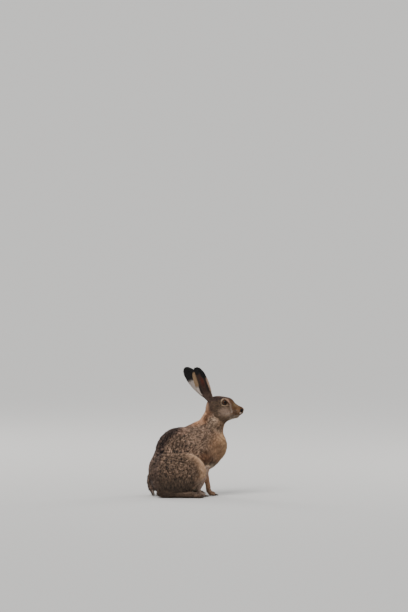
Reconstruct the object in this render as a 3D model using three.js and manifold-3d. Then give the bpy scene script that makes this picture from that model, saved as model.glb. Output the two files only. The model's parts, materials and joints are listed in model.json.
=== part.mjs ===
// A brown hare sitting upright and alert, life size.
// Millimetres, +Z up, nose towards +X, the hare's left towards +Y; the floor is Z = 0.
// Trunk, neck and head are one smooth field of named forms. Rings are cast on it between a back
// line and a belly line and lofted, then thin curved cuts part the loft into what a person would
// name. Ears, feet, tail, eyes and claws are lofts of their own, let into the flesh around them.
import * as THREE from "three";
import { LoftGeometry } from "three/addons/geometries/LoftGeometry.js";
import { mergeVertices } from "three/addons/utils/BufferGeometryUtils.js";
import Module from "manifold-3d";

const wasm = await Module();
wasm.setup();

const GAP = 0.3; // clear space between neighbouring parts
const WELD = 1e-3; // points closer than this are one point
const SIDES = { right: -1, left: 1 };

// Forms of the trunk, [x, y, z]. A form off the middle stands for both sides.
const RUMP = { at: [-76, 0, 82], radii: [71, 58, 72] };
const LOIN = { at: [-48, 0, 136], radii: [78, 49, 80] };
const WITHERS = { at: [16, 0, 178], radii: [62, 41, 56] };
const CHEST = { at: [52, 0, 158], radii: [46, 36, 52] };
const BRISKET = { at: [22, 0, 126], radii: [54, 34, 46] };
const BELLY = { at: [-60, 0, 50], radii: [85, 55, 52] };
// Forms of the haunch; tuck leans the thigh in towards the back.
const THIGH = { at: [-58, 46, 84], radii: [84, 31, 66], tuck: 0.22 };
const KNEE = { from: [-32, 45, 96], to: [3, 50, 82], r0: 40, r1: 31, narrow: 0.66 };
const SHANK = { from: [-26, 56, 43], to: [-98, 54, 32], r0: 24, r1: 20, narrow: 0.72 };
const UPPER_ARM = { from: [66, 24, 162], to: [30, 25, 106], r0: 22, r1: 17 };

// Forms of the neck and head.
const NECK = { from: [38, 0, 196], to: [62, 0, 252], r0: 44, r1: 37, narrow: 0.72 };
const CRANIUM = { at: [67, 0, 286], radii: [35, 25, 28] };
const BROW = { at: [92, 0, 288], radii: [28, 23, 22] };
const MUZZLE = { from: [98, 0, 279], to: [134, 0, 267.5], r0: 22.5, r1: 13.5, narrow: 1.1 };
const CHEEK = { at: [92, 14, 261], radii: [30, 14, 24] };
const JAW = { from: [98, 0, 251], to: [127, 0, 250.5], r0: 16, r1: 8, narrow: 1.15 };
const LIP = { at: [129, 9, 261], radii: [14, 10.5, 9.5] };
const NOSE = { at: [141.5, 0, 267], radii: [8.5, 9, 7.5] };
const SLIM = { from: 97, to: 136, by: 0.25 };

// How widely neighbouring forms melt into each other.
const TRUNK_MELT = 14;
const NECK_MELT = 12;
const HEAD_MELT = 8;

// Each ring's plane holds a point of the back line and a point of the belly line, both [x, z];
// rings is how many rings run from here to the next guide.
const RING_GUIDES = [
  { back: [-120, 5], belly: [-10, 5], rings: 3 },
  { back: [-146, 26], belly: [14, 26], rings: 3 },
  { back: [-154, 80], belly: [34, 62], rings: 3 },
  { back: [-142, 120], belly: [50, 80], rings: 3 },
  { back: [-116, 158], belly: [66, 95], rings: 3 },
  { back: [-80, 198], belly: [82, 115], rings: 3 },
  { back: [-40, 224], belly: [94, 134], rings: 3 },
  { back: [0, 245], belly: [100, 156], rings: 2 },
  { back: [16, 254], belly: [97, 181], rings: 2 },
  { back: [26, 264], belly: [94, 205], rings: 2 },
  { back: [31, 276], belly: [95, 222], rings: 2 },
  { back: [32, 290], belly: [97, 226], rings: 2 },
  { back: [40, 308], belly: [100, 228.5], rings: 2 },
  { back: [60, 318], belly: [103, 230.5], rings: 3 },
  { back: [80, 315], belly: [106, 232.5], rings: 3 },
  { back: [95, 310], belly: [110, 235], rings: 3 },
  { back: [108, 303], belly: [116, 238], rings: 4 },
  { back: [120, 296], belly: [124, 241], rings: 4 },
  { back: [132, 288], belly: [132, 245], rings: 4 },
  { back: [142, 280], belly: [139, 250], rings: 4 },
  { back: [148, 274], belly: [144, 256], rings: 3 },
  { back: [150.5, 269], belly: [149, 263], rings: 1 },
];
// Stretches of the body: first and last guide, and points on each ring.
const TRUNK_RINGS = { first: 0, last: 10, around: 28 };
const NECK_RINGS = { first: 6, last: 14, around: 28 };
const HEAD_RINGS = { first: 10, last: 21, around: 32 };
// The haunch is wrapped by upright rings about this middle, from its inner face outwards.
const HAUNCH = { middle: [-48, 70], from: 20, rings: 9, around: 28 };

// Cuts that part the flesh.
const NECK_CUT = { back: [8, 247], belly: [97, 192] };
const HEAD_CUT = { back: [31, 286], belly: [94, 223] };
// The last three are outlines in [x, z], cut square through from y0 outwards.
const SHANK_CUT = {
  y0: 10,
  y1: 100,
  outline: [[60, 60], [24, 53], [-30, 44], [-90, 40], [-160, 34], [-160, 0], [60, 0]],
};
const ARM_CUT = {
  y0: 14,
  y1: 80,
  outline: [
    [80, 172], [74, 186], [62, 193], [48, 190], [38, 176], [28, 150], [19, 124],
    [14, 104], [24, 92], [42, 86], [54, 96], [64, 116], [75, 144], [80, 160],
  ],
};
const CLEFT_CUT = {
  outline: [[170, 264], [147.2, 263.4], [145, 260], [142.4, 256], [140.4, 251], [170, 249]],
  half: 0.45,
};
const JAW_LINE = [
  [170, 254.5],
  [142, 253.5],
  [128, 250.5],
  [115, 247],
  [106, 240],
  [99, 226],
  [99, 200],
  [170, 200],
];

// Eyes: a round ball under lids that leave an almond opening.
const EYE = { at: [89, 17, 294], radius: 9, look: [0.26, 0.95, 0.14] };
const LID = { thick: 1.5, long: 16, high: 13.4, slant: 10 };
const NOSE_CUT = { at: [149.5, 0, 268.5], radii: [6.5, 5.6, 6] };
const NOSTRIL = { at: [146, 4.5, 267.6], radii: [3.6, 1.4, 2], lean: 24 };

// Ears: the middle line of the back of each ear, and the way its cup opens.
const EARS = {
  right: { line: [[48, -6, 293], [27, -9, 328], [13, -13, 362], [0, -16, 402]], open: [0.3, -1, 0] },
  left: { line: [[52, 6, 291], [25, 9, 326], [-3, 13, 360], [-34, 17, 398]], open: [0.15, 1, 0] },
};
// Along the ear: share of its length, half width, depth of cup, half angle of the rolled section.
const EAR_SECTIONS = [
  [0, 7, 6, 160],
  [0.06, 9.5, 8.5, 156],
  [0.13, 12, 11, 146],
  [0.22, 15, 12.8, 130],
  [0.33, 19.2, 13, 110],
  [0.45, 21.7, 12, 96],
  [0.57, 23, 10.5, 90],
  [0.69, 22.8, 8.5, 86],
  [0.79, 21.2, 6.8, 84],
  [0.87, 18.6, 5.4, 82],
  [0.935, 15, 4.4, 80],
  [0.975, 10.4, 3.4, 80],
  [1, 5, 2.4, 80],
];
const EAR_THICK = { root: 3, tip: 1.8 };

// Limbs and tail: stations of [x, y, z, half width, half depth].
const FOREARM = {
  right: [
    [38, -27, 112, 9, 11],
    [34, -26, 96, 11.5, 13],
    [27, -24, 72, 11, 12.5],
    [17, -22, 46, 9.8, 11.2],
    [8, -21, 27, 8.8, 9.6],
  ],
  left: [
    [22, 27, 112, 9, 11],
    [24, 26, 96, 11.5, 13],
    [29, 24, 72, 10.5, 11],
    [35, 22, 46, 9, 9],
    [39, 21, 27, 8.5, 8.5],
  ],
};
const FORE_PAW = {
  x: { right: 8, left: 39 },
  y: 21,
  stations: [[-1, 0, 27, 8, 8], [1, 0, 16, 9, 8.5], [7, 0, 8, 10.5, 8.4], [15, 0, 6.4, 10, 6.8]],
};
const FORE_TOE = {
  from: [12, 5.4],
  tip: [25, 4.0],
  spread: [-7.6, -2.6, 2.6, 7.6],
  back: [3, 0, 0, 3.5],
  r: 4.6,
};
const HIND_FOOT = {
  x: -5,
  y: 57,
  stations: [
    [-108, 0, 17, 10, 12],
    [-98, 0, 14, 12.5, 14.4],
    [-72, 0, 13, 13.5, 13.3],
    [-40, 0, 11.5, 14.5, 11.8],
    [-12, 0, 10.5, 16.5, 10.8],
    [6, 0, 9, 16, 9],
  ],
};
const HIND_TOE = {
  from: [2, 7.6],
  tip: [30, 6.2],
  spread: [-12.3, -4.2, 4.2, 12.3],
  back: [8, 0, 1, 7],
  r: 6.7,
};
const TAIL = [
  [-134, 0, 80, 8, 6],
  [-140, 0, 68, 13, 8],
  [-142, 0, 50, 16, 9],
  [-139, 0, 30, 15, 9],
  [-133, 0, 14, 9.5, 6.5],
];
const CLAW = { long: 7, wide: 1.5, deep: 2 };

const COAT = 0x6f5f50;
const PALE = 0xcfc3b2;

// Egg: radii along X, Y and Z; tuck leans its top inwards.
function egg({ at, radii, tuck = 0 }) {
  return (x, y, z) => {
    const u = (x - at[0]) / radii[0];
    const v = (y - at[1] + tuck * (z - at[2])) / radii[1];
    const w = (z - at[2]) / radii[2];
    const k = Math.hypot(u, v, w);
    const g = Math.hypot(u / radii[0], v / radii[1], w / radii[2]);
    return g < 1e-9 ? -Math.min(...radii) : (k * (k - 1)) / g;
  };
}

// Round tapered form between two points; narrow makes it thinner or wider from side to side.
function limb({ from, to, r0, r1, narrow = 1 }) {
  const b = [to[0] - from[0], (to[1] - from[1]) / narrow, to[2] - from[2]];
  const length = b[0] * b[0] + b[1] * b[1] + b[2] * b[2];
  return (x, y, z) => {
    const p = [x - from[0], (y - from[1]) / narrow, z - from[2]];
    const t = (p[0] * b[0] + p[1] * b[1] + p[2] * b[2]) / length;
    const h = Math.min(1, Math.max(0, t));
    const reach = Math.hypot(p[0] - b[0] * h, p[1] - b[1] * h, p[2] - b[2] * h);
    return (reach - r0 - (r1 - r0) * h) * Math.min(1, narrow);
  };
}

const bothSides = (form) => (x, y, z) => form(x, Math.abs(y), z);

function melt(width, ...forms) {
  return (x, y, z) =>
    forms.reduce((near, form) => {
      const next = form(x, y, z);
      const h = Math.max(width - Math.abs(near - next), 0) / width;
      return Math.min(near, next) - (h * h * width) / 4;
    }, 1e3);
}

const trunkFlesh = melt(
  TRUNK_MELT,
  egg(RUMP),
  egg(LOIN),
  egg(WITHERS),
  egg(CHEST),
  egg(BRISKET),
  egg(BELLY),
  bothSides(limb(UPPER_ARM)),
);
const haunchFlesh = melt(TRUNK_MELT, egg(THIGH), limb(KNEE), limb(SHANK));
const headForms = melt(
  HEAD_MELT,
  egg(CRANIUM),
  egg(BROW),
  limb(MUZZLE),
  bothSides(egg(CHEEK)),
  limb(JAW),
  bothSides(egg(LIP)),
  egg(NOSE),
);

// From the cheeks forward the face grows slimmer from side to side than its forms alone would be.
const headFlesh = (x, y, z) => {
  const t = Math.min(1, Math.max(0, (x - SLIM.from) / (SLIM.to - SLIM.from)));
  const slim = 1 - SLIM.by * t * t * (3 - 2 * t);
  return headForms(x, y / slim, z) * slim;
};
const wholeFlesh = melt(NECK_MELT, trunkFlesh, limb(NECK), headFlesh);

// Distance from a point inside the field to its surface along a direction.
function reachOut(field, level, from, way) {
  const FAR = 260;
  const at = (t) => field(from[0] + way[0] * t, from[1] + way[1] * t, from[2] + way[2] * t) - level;
  let far = 0;
  while (far < FAR && at(far) < 0) far += 1;
  let near = Math.max(0, far - 1);
  for (let i = 0; i < 18; i++) {
    const mid = (near + far) / 2;
    if (at(mid) < 0) near = mid;
    else far = mid;
  }
  return near;
}

function castRing(field, level, centre, across, up, around) {
  const ring = [];
  for (let j = 0; j < around; j++) {
    const a = (j / around) * Math.PI * 2;
    const way = [0, 1, 2].map((k) => across[k] * Math.cos(a) + up[k] * Math.sin(a));
    const r = Math.max(reachOut(field, level, centre, way), 0.2);
    ring.push(new THREE.Vector3(...centre.map((c, k) => c + way[k] * r)));
  }
  return ring;
}

// Closed solid of a geometry whose shared vertices are merged.
function solid(geometry) {
  const bare = new THREE.BufferGeometry();
  bare.setAttribute("position", geometry.attributes.position);
  bare.setIndex(geometry.index);
  const merged = mergeVertices(bare, WELD);
  const kept = [];
  const found = merged.index.array;
  for (let i = 0; i < found.length; i += 3) {
    const [a, b, c] = [found[i], found[i + 1], found[i + 2]];
    if (a !== b && b !== c && c !== a) kept.push(a, b, c);
  }
  const made = new wasm.Manifold(
    new wasm.Mesh({
      numProp: 3,
      vertProperties: merged.attributes.position.array,
      triVerts: new Uint32Array(kept),
    }),
  );
  if (made.volume() <= 0) throw new Error("a form is inside out");
  return made;
}

const loft = (sections) => solid(new LoftGeometry(sections, { capStart: true, capEnd: true }));

function curveThrough(points, t) {
  const curve = new THREE.CatmullRomCurve3(
    points.map((p) => new THREE.Vector3(...p)),
    false,
    "catmullrom",
    0.5,
  );
  return curve.getPoint(t);
}

function bodyStretch({ first, last, around }, level = 0) {
  const sections = [];
  const end = RING_GUIDES.length - 1;
  RING_GUIDES.slice(first, last).forEach((guide, n) => {
    const i = first + n;
    const near = [Math.max(0, i - 1), i, i + 1, Math.min(end, i + 2)].map((m) => RING_GUIDES[m]);
    for (let k = 0; k < guide.rings; k++) {
      // The middle span of four points runs from one third to two thirds of the curve.
      const [back, belly] = ["back", "belly"].map((line) =>
        curveThrough(near.map((g) => [g[line][0], 0, g[line][1]]), (1 + k / guide.rings) / 3),
      );
      const up = back.clone().sub(belly).normalize();
      const centre = back.add(belly).multiplyScalar(0.5);
      sections.push(castRing(wholeFlesh, level, centre.toArray(), [0, 1, 0], up.toArray(), around));
    }
  });
  return loft(sections);
}

// Solid egg for cutting, grown all round by grow.
function eggSolid({ at, radii, lean = 0 }, grow = 0, around = 16) {
  const geometry = new THREE.SphereGeometry(1, around, Math.round(around / 2));
  geometry.scale(...radii.map((r) => r + grow));
  geometry.rotateY((lean * Math.PI) / 180);
  geometry.translate(...at);
  return solid(geometry);
}

// Loft along stations of [x, y, z, half width, half depth] with rounded ends.
function tube(stations, grow = 0, around = 14, ends = [35, 70]) {
  const centres = stations.map((s) => new THREE.Vector3(s[0], s[1], s[2]));
  const rings = [];
  const addRing = (centre, along, wide, deep) => {
    const side = new THREE.Vector3(0, 1, 0).addScaledVector(along, -along.y).normalize();
    const up = along.clone().cross(side);
    rings.push(
      [...Array(around).keys()].map((j) => {
        const a = (j / around) * Math.PI * 2;
        const c = Math.cos(a) * (wide + grow);
        const s = Math.sin(a) * (deep + grow);
        return centre.clone().addScaledVector(side, c).addScaledVector(up, s);
      }),
    );
  };
  const roundEnd = (i, along, sign) => {
    const [wide, deep] = [stations[i][3], stations[i][4]];
    for (const degrees of sign < 0 ? [...ends].reverse() : ends) {
      const a = (degrees * Math.PI) / 180;
      const out = Math.sin(a) * (Math.min(wide, deep) + grow) * sign;
      const share = Math.cos(a);
      addRing(
        centres[i].clone().addScaledVector(along, out),
        along,
        (wide + grow) * share - grow,
        (deep + grow) * share - grow,
      );
    }
  };
  const last = centres.length - 1;
  const way = (i) => centres[Math.min(last, i + 1)].clone().sub(centres[Math.max(0, i - 1)]).normalize();
  roundEnd(0, way(0), -1);
  centres.forEach((c, i) => addRing(c, way(i), stations[i][3], stations[i][4]));
  roundEnd(last, way(last), 1);
  return loft(rings);
}

// Upright plate: an outline in [x, z] given width from y0 to y1, its sides moved out by grow.
function plate(outline, y0, y1, grow = 0) {
  const points = outline.map(([x, z]) => new THREE.Vector2(x, z));
  if (THREE.ShapeUtils.area(points) < 0) points.reverse();
  const n = points.length;
  const moved = points.map((p, i) => {
    const before = p.clone().sub(points[(i + n - 1) % n]).normalize();
    const after = points[(i + 1) % n].clone().sub(p).normalize();
    const out = new THREE.Vector2(before.y + after.y, -before.x - after.x).normalize();
    const slant = out.x * before.y - out.y * before.x;
    return p.clone().addScaledVector(out, grow / Math.max(slant, 0.5));
  });
  const ring = (y) => moved.map((p) => [p.x, y, p.y]);
  const [near, far] = [ring(y0), ring(y1)];
  const positions = [...near, ...far].flat();
  const faces = [];
  for (let i = 0; i < n; i++) {
    const k = (i + 1) % n;
    faces.push(i, n + i, k, k, n + i, n + k);
  }
  for (const [a, b, c] of THREE.ShapeUtils.triangulateShape(moved, [])) {
    faces.push(a, b, c, n + a, n + c, n + b);
  }
  const geometry = new THREE.BufferGeometry();
  geometry.setAttribute("position", new THREE.Float32BufferAttribute(positions, 3));
  geometry.setIndex(faces);
  return solid(geometry);
}

// A plate on one side of the body.
function sidePlate({ outline, y0, y1 }, side, grow = 0) {
  const [a, b] = side < 0 ? [-y1, -y0 + grow] : [y0 - grow, y1];
  return plate(outline, a, b, grow);
}

function box(from, to) {
  const geometry = new THREE.BoxGeometry(to[0] - from[0], to[1] - from[1], to[2] - from[2]);
  geometry.translate((from[0] + to[0]) / 2, (from[1] + to[1]) / 2, (from[2] + to[2]) / 2);
  return solid(geometry);
}

const aboveFloor = box([-400, -400, 0], [400, 400, 600]);

function ear({ line, open }, grow = 0, upTo = 1) {
  const around = 10;
  const sections = EAR_SECTIONS.filter(([t]) => t <= upTo).map(([t, wide, deep, degrees]) => {
    const centre = curveThrough(line, t);
    const along = curveThrough(line, Math.min(1, t + 0.02)).sub(curveThrough(line, Math.max(0, t - 0.02)));
    along.normalize();
    const out = new THREE.Vector3(...open).addScaledVector(along, -along.dot(new THREE.Vector3(...open)));
    out.normalize();
    const side = out.clone().cross(along);
    const half = (degrees * Math.PI) / 180;
    const thick = THREE.MathUtils.lerp(EAR_THICK.root, EAR_THICK.tip, t);
    const arc = (w, d, reach) =>
      [...Array(around).keys()].map((j) => {
        const a = (-1 + (2 * j) / (around - 1)) * reach;
        return centre
          .clone()
          .addScaledVector(side, Math.sin(a) * w)
          .addScaledVector(out, deep - Math.cos(a) * d);
      });
    const lift = grow / Math.max(wide, deep);
    const outer = arc(wide + grow, deep + grow, half + lift);
    const inner = arc(Math.max(wide - thick - grow, 0.4), Math.max(deep - thick - grow, 0.3), half + lift);
    return [...outer, ...inner.reverse()];
  });
  return loft(sections);
}

// Toes of one foot; back holds how far each toe tip stays behind the longest.
function toes(foot, x, y, side, grow) {
  return foot.spread.map((spread, i) => {
    const tip = foot.tip[0] - foot.back[i];
    const [z0, z1] = [foot.from[1], foot.tip[1]];
    const line = [
      [x + foot.from[0], side * (y + spread * 0.8), z0, foot.r, foot.r],
      [x + (foot.from[0] + tip) / 2, side * (y + spread), (z0 + z1) / 2 + 0.8, foot.r, foot.r],
      [x + tip - foot.r, side * (y + spread * 1.04), z1, foot.r * 0.94, foot.r * 0.98],
    ];
    return tube(line, grow, 8, [50]);
  });
}

// Claws of one foot as stations, rooted in the toe tips.
function claws(foot, x, y, side) {
  return foot.spread.map((spread, i) => {
    const tip = x + foot.tip[0] - foot.back[i];
    const level = foot.tip[1];
    const stations = [
      [tip - 2, side * (y + spread * 1.04), level - 0.2, CLAW.wide, CLAW.deep],
      [tip + CLAW.long * 0.4, side * (y + spread * 1.05), level - 0.9, CLAW.wide * 0.8, CLAW.deep * 0.75],
      [tip + CLAW.long, side * (y + spread * 1.06), level - 2.6, 0.5, 0.6],
    ];
    return stations;
  });
}

const joined = (list) => list.reduce((a, b) => a.add(b));
const without = (body, ...others) => others.reduce((a, b) => a.subtract(b), body);

function asGeometry(made) {
  const found = made.getMesh();
  const geometry = new THREE.BufferGeometry();
  geometry.setAttribute("position", new THREE.BufferAttribute(found.vertProperties, 3));
  geometry.setIndex(new THREE.BufferAttribute(found.triVerts, 1));
  return geometry;
}

// Largest piece of a cut body, welded first so that slivers fall away.
function mainPiece(body) {
  const pieces = solid(asGeometry(body)).decompose();
  return pieces.reduce((a, b) => (b.volume() > a.volume() ? b : a));
}

const hare = new THREE.Group();
function place(name, made, colour) {
  const material = new THREE.MeshStandardMaterial({ color: colour, roughness: 0.9 });
  const mesh = new THREE.Mesh(asGeometry(mainPiece(made)), material);
  mesh.name = name;
  hare.add(mesh);
}

const mirrored = (at, side) => [at[0], side * at[1], at[2]];
const forSide = (form, side) => ({ ...form, at: mirrored(form.at, side) });

// All the space beyond a flat cut, seen from the rump; back and belly are points of the cut.
function beyond({ back, belly }, shift = 0) {
  const SIZE = 600;
  const geometry = new THREE.BoxGeometry(SIZE, SIZE, SIZE);
  geometry.translate(SIZE / 2 + shift, 0, 0);
  const lean = Math.atan2(belly[0] - back[0], back[1] - belly[1]);
  geometry.rotateY(-lean);
  geometry.translate((back[0] + belly[0]) / 2, 0, (back[1] + belly[1]) / 2);
  return solid(geometry);
}

// Lids: a shell round the ball with an almond opening cut along the way the eye looks.
function eyeForms(side) {
  const at = new THREE.Vector3(...mirrored(EYE.at, side));
  const look = new THREE.Vector3(...mirrored(EYE.look, side)).normalize();
  const ball = (r) => {
    const geometry = new THREE.SphereGeometry(r, 16, 10);
    geometry.rotateX(Math.PI / 2);
    geometry.lookAt(look);
    geometry.translate(...at);
    return solid(geometry);
  };
  const almond = [];
  for (let j = 0; j < 16; j++) {
    const a = (j / 16) * Math.PI * 2;
    const high = Math.sin(a) * (1 - 0.22 * Math.cos(a) ** 2) * (LID.high / 2);
    almond.push([(Math.cos(a) * LID.long) / 2, high]);
  }
  const across = new THREE.Vector3(0, 0, 1).cross(look).normalize();
  const up = look.clone().cross(across);
  const tilt = (LID.slant * side * Math.PI) / 180;
  const ringAt = (far, scale) =>
    almond.map(([u, v]) => {
      const c = u * Math.cos(tilt) - v * Math.sin(tilt);
      const s = u * Math.sin(tilt) + v * Math.cos(tilt);
      return at
        .clone()
        .addScaledVector(look, far)
        .addScaledVector(across, c * scale)
        .addScaledVector(up, s * scale);
    });
  const opening = loft([ringAt(3, 0.94), ringAt(7, 1), ringAt(22, 1.5)]);
  return { ball: ball(EYE.radius), socket: ball(EYE.radius + GAP), lids: ball(EYE.radius + LID.thick), opening };
}

const headFlesh0 = bodyStretch(HEAD_RINGS);

// Head: lids, ear roots, nostrils, cleft of the lip and the line of the mouth.
let head = headFlesh0.intersect(beyond(HEAD_CUT, GAP));
const eyes = {};
const ears = {};
for (const [name, side] of Object.entries(SIDES)) {
  eyes[name] = eyeForms(side);
  ears[name] = ear(EARS[name]);
  head = head.add(eyes[name].lids);
}
for (const name of Object.keys(SIDES)) {
  head = without(head, eyes[name].socket, eyes[name].opening, ear(EARS[name], GAP, 0.33));
}
const cleft = plate(CLEFT_CUT.outline, -CLEFT_CUT.half, CLEFT_CUT.half);
const nostrils = Object.values(SIDES).map((side) => eggSolid(forSide(NOSTRIL, side), 0, 10));
const noseRegion = eggSolid(NOSE_CUT, 0, 16);
const nose = without(headFlesh0.intersect(noseRegion), cleft, ...nostrils);
head = without(head, eggSolid(NOSE_CUT, GAP, 16), cleft, ...nostrils);
const jaw = head.intersect(plate(JAW_LINE, -60, 60));
head = head.subtract(plate(JAW_LINE, -60, 60, GAP));
place("head", head, COAT);
place("lower_jaw", jaw, PALE);
place("nose", nose, 0x2a2220);
for (const name of Object.keys(SIDES)) {
  place(name + "_eye", eyes[name].ball, 0x5a3a18);
  place(name + "_ear", ears[name], COAT);
}
const neck = bodyStretch(NECK_RINGS).intersect(beyond(NECK_CUT, GAP)).subtract(beyond(HEAD_CUT, 0));
place("neck", neck, COAT);

// Haunch of one side, wrapped outwards from its inner face.
function haunch(side, grow = 0) {
  const { middle, from, around } = HAUNCH;
  const start = [middle[0], from, middle[1]];
  const width = reachOut(haunchFlesh, grow, start, [0, 1, 0]);
  const rings = [...Array(HAUNCH.rings).keys()].map((i) => {
    const y = from + width * Math.sin((i / (HAUNCH.rings - 0.7)) * (Math.PI / 2));
    const ring = castRing(haunchFlesh, grow, [middle[0], y, middle[1]], [1, 0, 0], [0, 0, 1], around);
    return ring.map((p) => new THREE.Vector3(p.x, side * (i === 0 ? y - grow : y), p.z));
  });
  return loft(side < 0 ? rings : rings.map((r) => [...r].reverse()));
}

// Trunk and limbs.
let torso = bodyStretch(TRUNK_RINGS).subtract(beyond(NECK_CUT, 0));
torso = torso.subtract(tube(TAIL, GAP));
for (const [name, side] of Object.entries(SIDES)) {
  const feet = {};
  const pawX = FORE_PAW.x[name];
  for (const grow of [0, GAP]) {
    const paw = FORE_PAW.stations.map(([x, , z, w, d]) => [x + pawX, side * FORE_PAW.y, z, w, d]);
    feet["paw" + grow] = joined([tube(paw, grow), ...toes(FORE_TOE, pawX, FORE_PAW.y, side, grow)]);
    const foot = HIND_FOOT.stations.map(([x, , z, w, d]) => {
      return [x + HIND_FOOT.x, side * HIND_FOOT.y, z, w, d];
    });
    const hindToes = toes(HIND_TOE, HIND_FOOT.x, HIND_FOOT.y, side, grow);
    feet["foot" + grow] = joined([tube(foot, grow), ...hindToes]);
  }
  const foreClaws = claws(FORE_TOE, pawX, FORE_PAW.y, side);
  const hindClaws = claws(HIND_TOE, HIND_FOOT.x, HIND_FOOT.y, side);
  const clawGaps = (list) => list.map((c) => tube(c, GAP, 5, []));
  const footGap = feet["foot" + GAP];
  const pawGap = feet["paw" + GAP];
  const forearmGap = tube(FOREARM[name], GAP);
  const leg = without(haunch(side), footGap, forearmGap);
  const legGap = haunch(side, GAP);
  const shank = leg.intersect(sidePlate(SHANK_CUT, side));
  const thigh = leg.subtract(sidePlate(SHANK_CUT, side, GAP));
  const arm = without(torso.intersect(sidePlate(ARM_CUT, side)), legGap, forearmGap);
  torso = without(torso, legGap, sidePlate(ARM_CUT, side, GAP), footGap, forearmGap, pawGap);
  place(name + "_thigh", thigh, COAT);
  place(name + "_shank", shank, COAT);
  place(name + "_upper_arm", arm, COAT);
  place(name + "_forearm", without(tube(FOREARM[name]), pawGap), PALE);
  place(name + "_fore_paw", without(feet.paw0.intersect(aboveFloor), ...clawGaps(foreClaws), footGap), PALE);
  place(name + "_hind_foot", without(feet.foot0.intersect(aboveFloor), ...clawGaps(hindClaws)), PALE);
  foreClaws.forEach((c, i) => place(name + "_fore_claw_" + (i + 1), tube(c, 0, 5, []), 0x241c18));
  hindClaws.forEach((c, i) => place(name + "_hind_claw_" + (i + 1), tube(c, 0, 5, []), 0x241c18));
}
place("torso", torso, COAT);
place("tail", tube(TAIL), COAT);

// The origin lies on the floor under the middle of the whole model.
const bounds = new THREE.Box3().setFromObject(hare);
const middle = bounds.getCenter(new THREE.Vector3());
hare.position.set(-middle.x, -middle.y, -bounds.min.z);

export default hare;
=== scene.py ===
# %% [markdown]
# # A brown hare, sitting upright
#
# The solids of the hare are packed already: trunk, neck, head, ears, legs, feet, eyes and claws,
# in metres, nose along +X and the floor at z = 0. This script dresses them. One skin takes the
# place of all the flesh, a coat of small tufts grows on it, and the eyes, lids and whiskers are
# modelled one by one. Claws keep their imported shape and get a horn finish.

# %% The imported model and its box
import json
import math

import bmesh
import bpy
import numpy as np
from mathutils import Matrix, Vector
from mathutils.bvhtree import BVHTree

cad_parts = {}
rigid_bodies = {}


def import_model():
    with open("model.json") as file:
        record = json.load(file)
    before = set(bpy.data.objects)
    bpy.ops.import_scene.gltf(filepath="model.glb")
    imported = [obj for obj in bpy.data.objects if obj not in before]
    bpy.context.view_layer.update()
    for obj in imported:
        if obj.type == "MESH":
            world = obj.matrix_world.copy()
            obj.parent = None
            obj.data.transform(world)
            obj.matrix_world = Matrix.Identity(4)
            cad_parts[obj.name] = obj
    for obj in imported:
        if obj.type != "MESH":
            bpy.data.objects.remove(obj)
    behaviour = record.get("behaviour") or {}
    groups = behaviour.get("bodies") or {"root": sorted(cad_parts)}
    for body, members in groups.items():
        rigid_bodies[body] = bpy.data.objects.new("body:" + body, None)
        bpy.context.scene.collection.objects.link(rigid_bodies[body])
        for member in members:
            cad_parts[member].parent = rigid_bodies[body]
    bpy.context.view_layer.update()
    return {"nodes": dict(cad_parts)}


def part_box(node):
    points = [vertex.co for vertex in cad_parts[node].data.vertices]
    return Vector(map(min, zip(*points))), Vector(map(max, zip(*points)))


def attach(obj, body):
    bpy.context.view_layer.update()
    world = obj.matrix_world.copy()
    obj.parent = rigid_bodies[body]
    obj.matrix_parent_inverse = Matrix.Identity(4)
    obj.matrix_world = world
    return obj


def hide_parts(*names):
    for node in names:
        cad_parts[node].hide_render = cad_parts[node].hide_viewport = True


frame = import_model()
nodes = frame["nodes"]
MM = 0.001
SIDES = {"right": -1, "left": 1}

# %% [markdown]
# ## Camera
#
# A photographer lies some way off from a hare, so the picture is taken with a long lens and has
# almost no perspective. A camera object could be aimed with a constraint, but a constraint may be
# lost when another view moves the camera, so its turn is worked out once and set.

# %% Camera
PICTURE_TALL = 1.897  # metres from the top to the bottom of the picture, at the hare
PICTURE_MIDDLE = Vector((0.0261, 0.0, 0.592))
LENS = 400.0
FILM = 36.0  # mm, along the picture's longer side
FARTHEST = 300.0
TILT_DOWN = math.radians(4.0)


def add_object(name, data):
    """Puts a camera, a lamp or a mesh into the scene."""
    thing = bpy.data.objects.new(name, data)
    bpy.context.scene.collection.objects.link(thing)
    return thing


far_away = PICTURE_TALL * LENS / FILM
towards_camera = Vector((0.0, -math.cos(TILT_DOWN), math.sin(TILT_DOWN)))
camera_data = bpy.data.cameras.new("camera")
camera_data.lens = LENS
camera_data.sensor_width = FILM
camera_data.clip_end = FARTHEST
camera = add_object("camera", camera_data)
camera.location = PICTURE_MIDDLE + towards_camera * far_away
camera.rotation_euler = (-towards_camera).to_track_quat("-Z", "Y").to_euler()
bpy.context.scene.camera = camera
print("camera", round(far_away, 2), "m away")

# %% [markdown]
# ## Floor and light
#
# The model stands on a plain pale floor under a soft sky. A far floor often meets the sky in a
# hard line. Here the sun's strength is worked out so that the lit floor sends back just as much
# light as the air holds, and then no line shows from any side. A sun lamp with a wide disc gives
# soft shadows that don't fall off with distance, and two area lamps behind the hare draw the
# pale rims along its back and breast.

# %% Air
AIR = 0.80  # light that comes from every side


def set_sockets(node, **values):
    """Sets a node's inputs by name, with _ for each space in the name."""
    for name, value in values.items():
        node.inputs[name.replace("_", " ")].default_value = value
    return node


air = bpy.data.worlds.new("air")
air.use_nodes = True
set_sockets(air.node_tree.nodes["Background"], Color=(0.985, 0.995, 1.0, 1.0), Strength=AIR)
bpy.context.scene.world = air
print("air", AIR)

# %% Floor
FLOOR_RADIUS = 120.0
FLOOR_SHADE = 0.58
FLOOR_TINT = (FLOOR_SHADE, FLOOR_SHADE * 0.99, FLOOR_SHADE * 0.97, 1.0)


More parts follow.
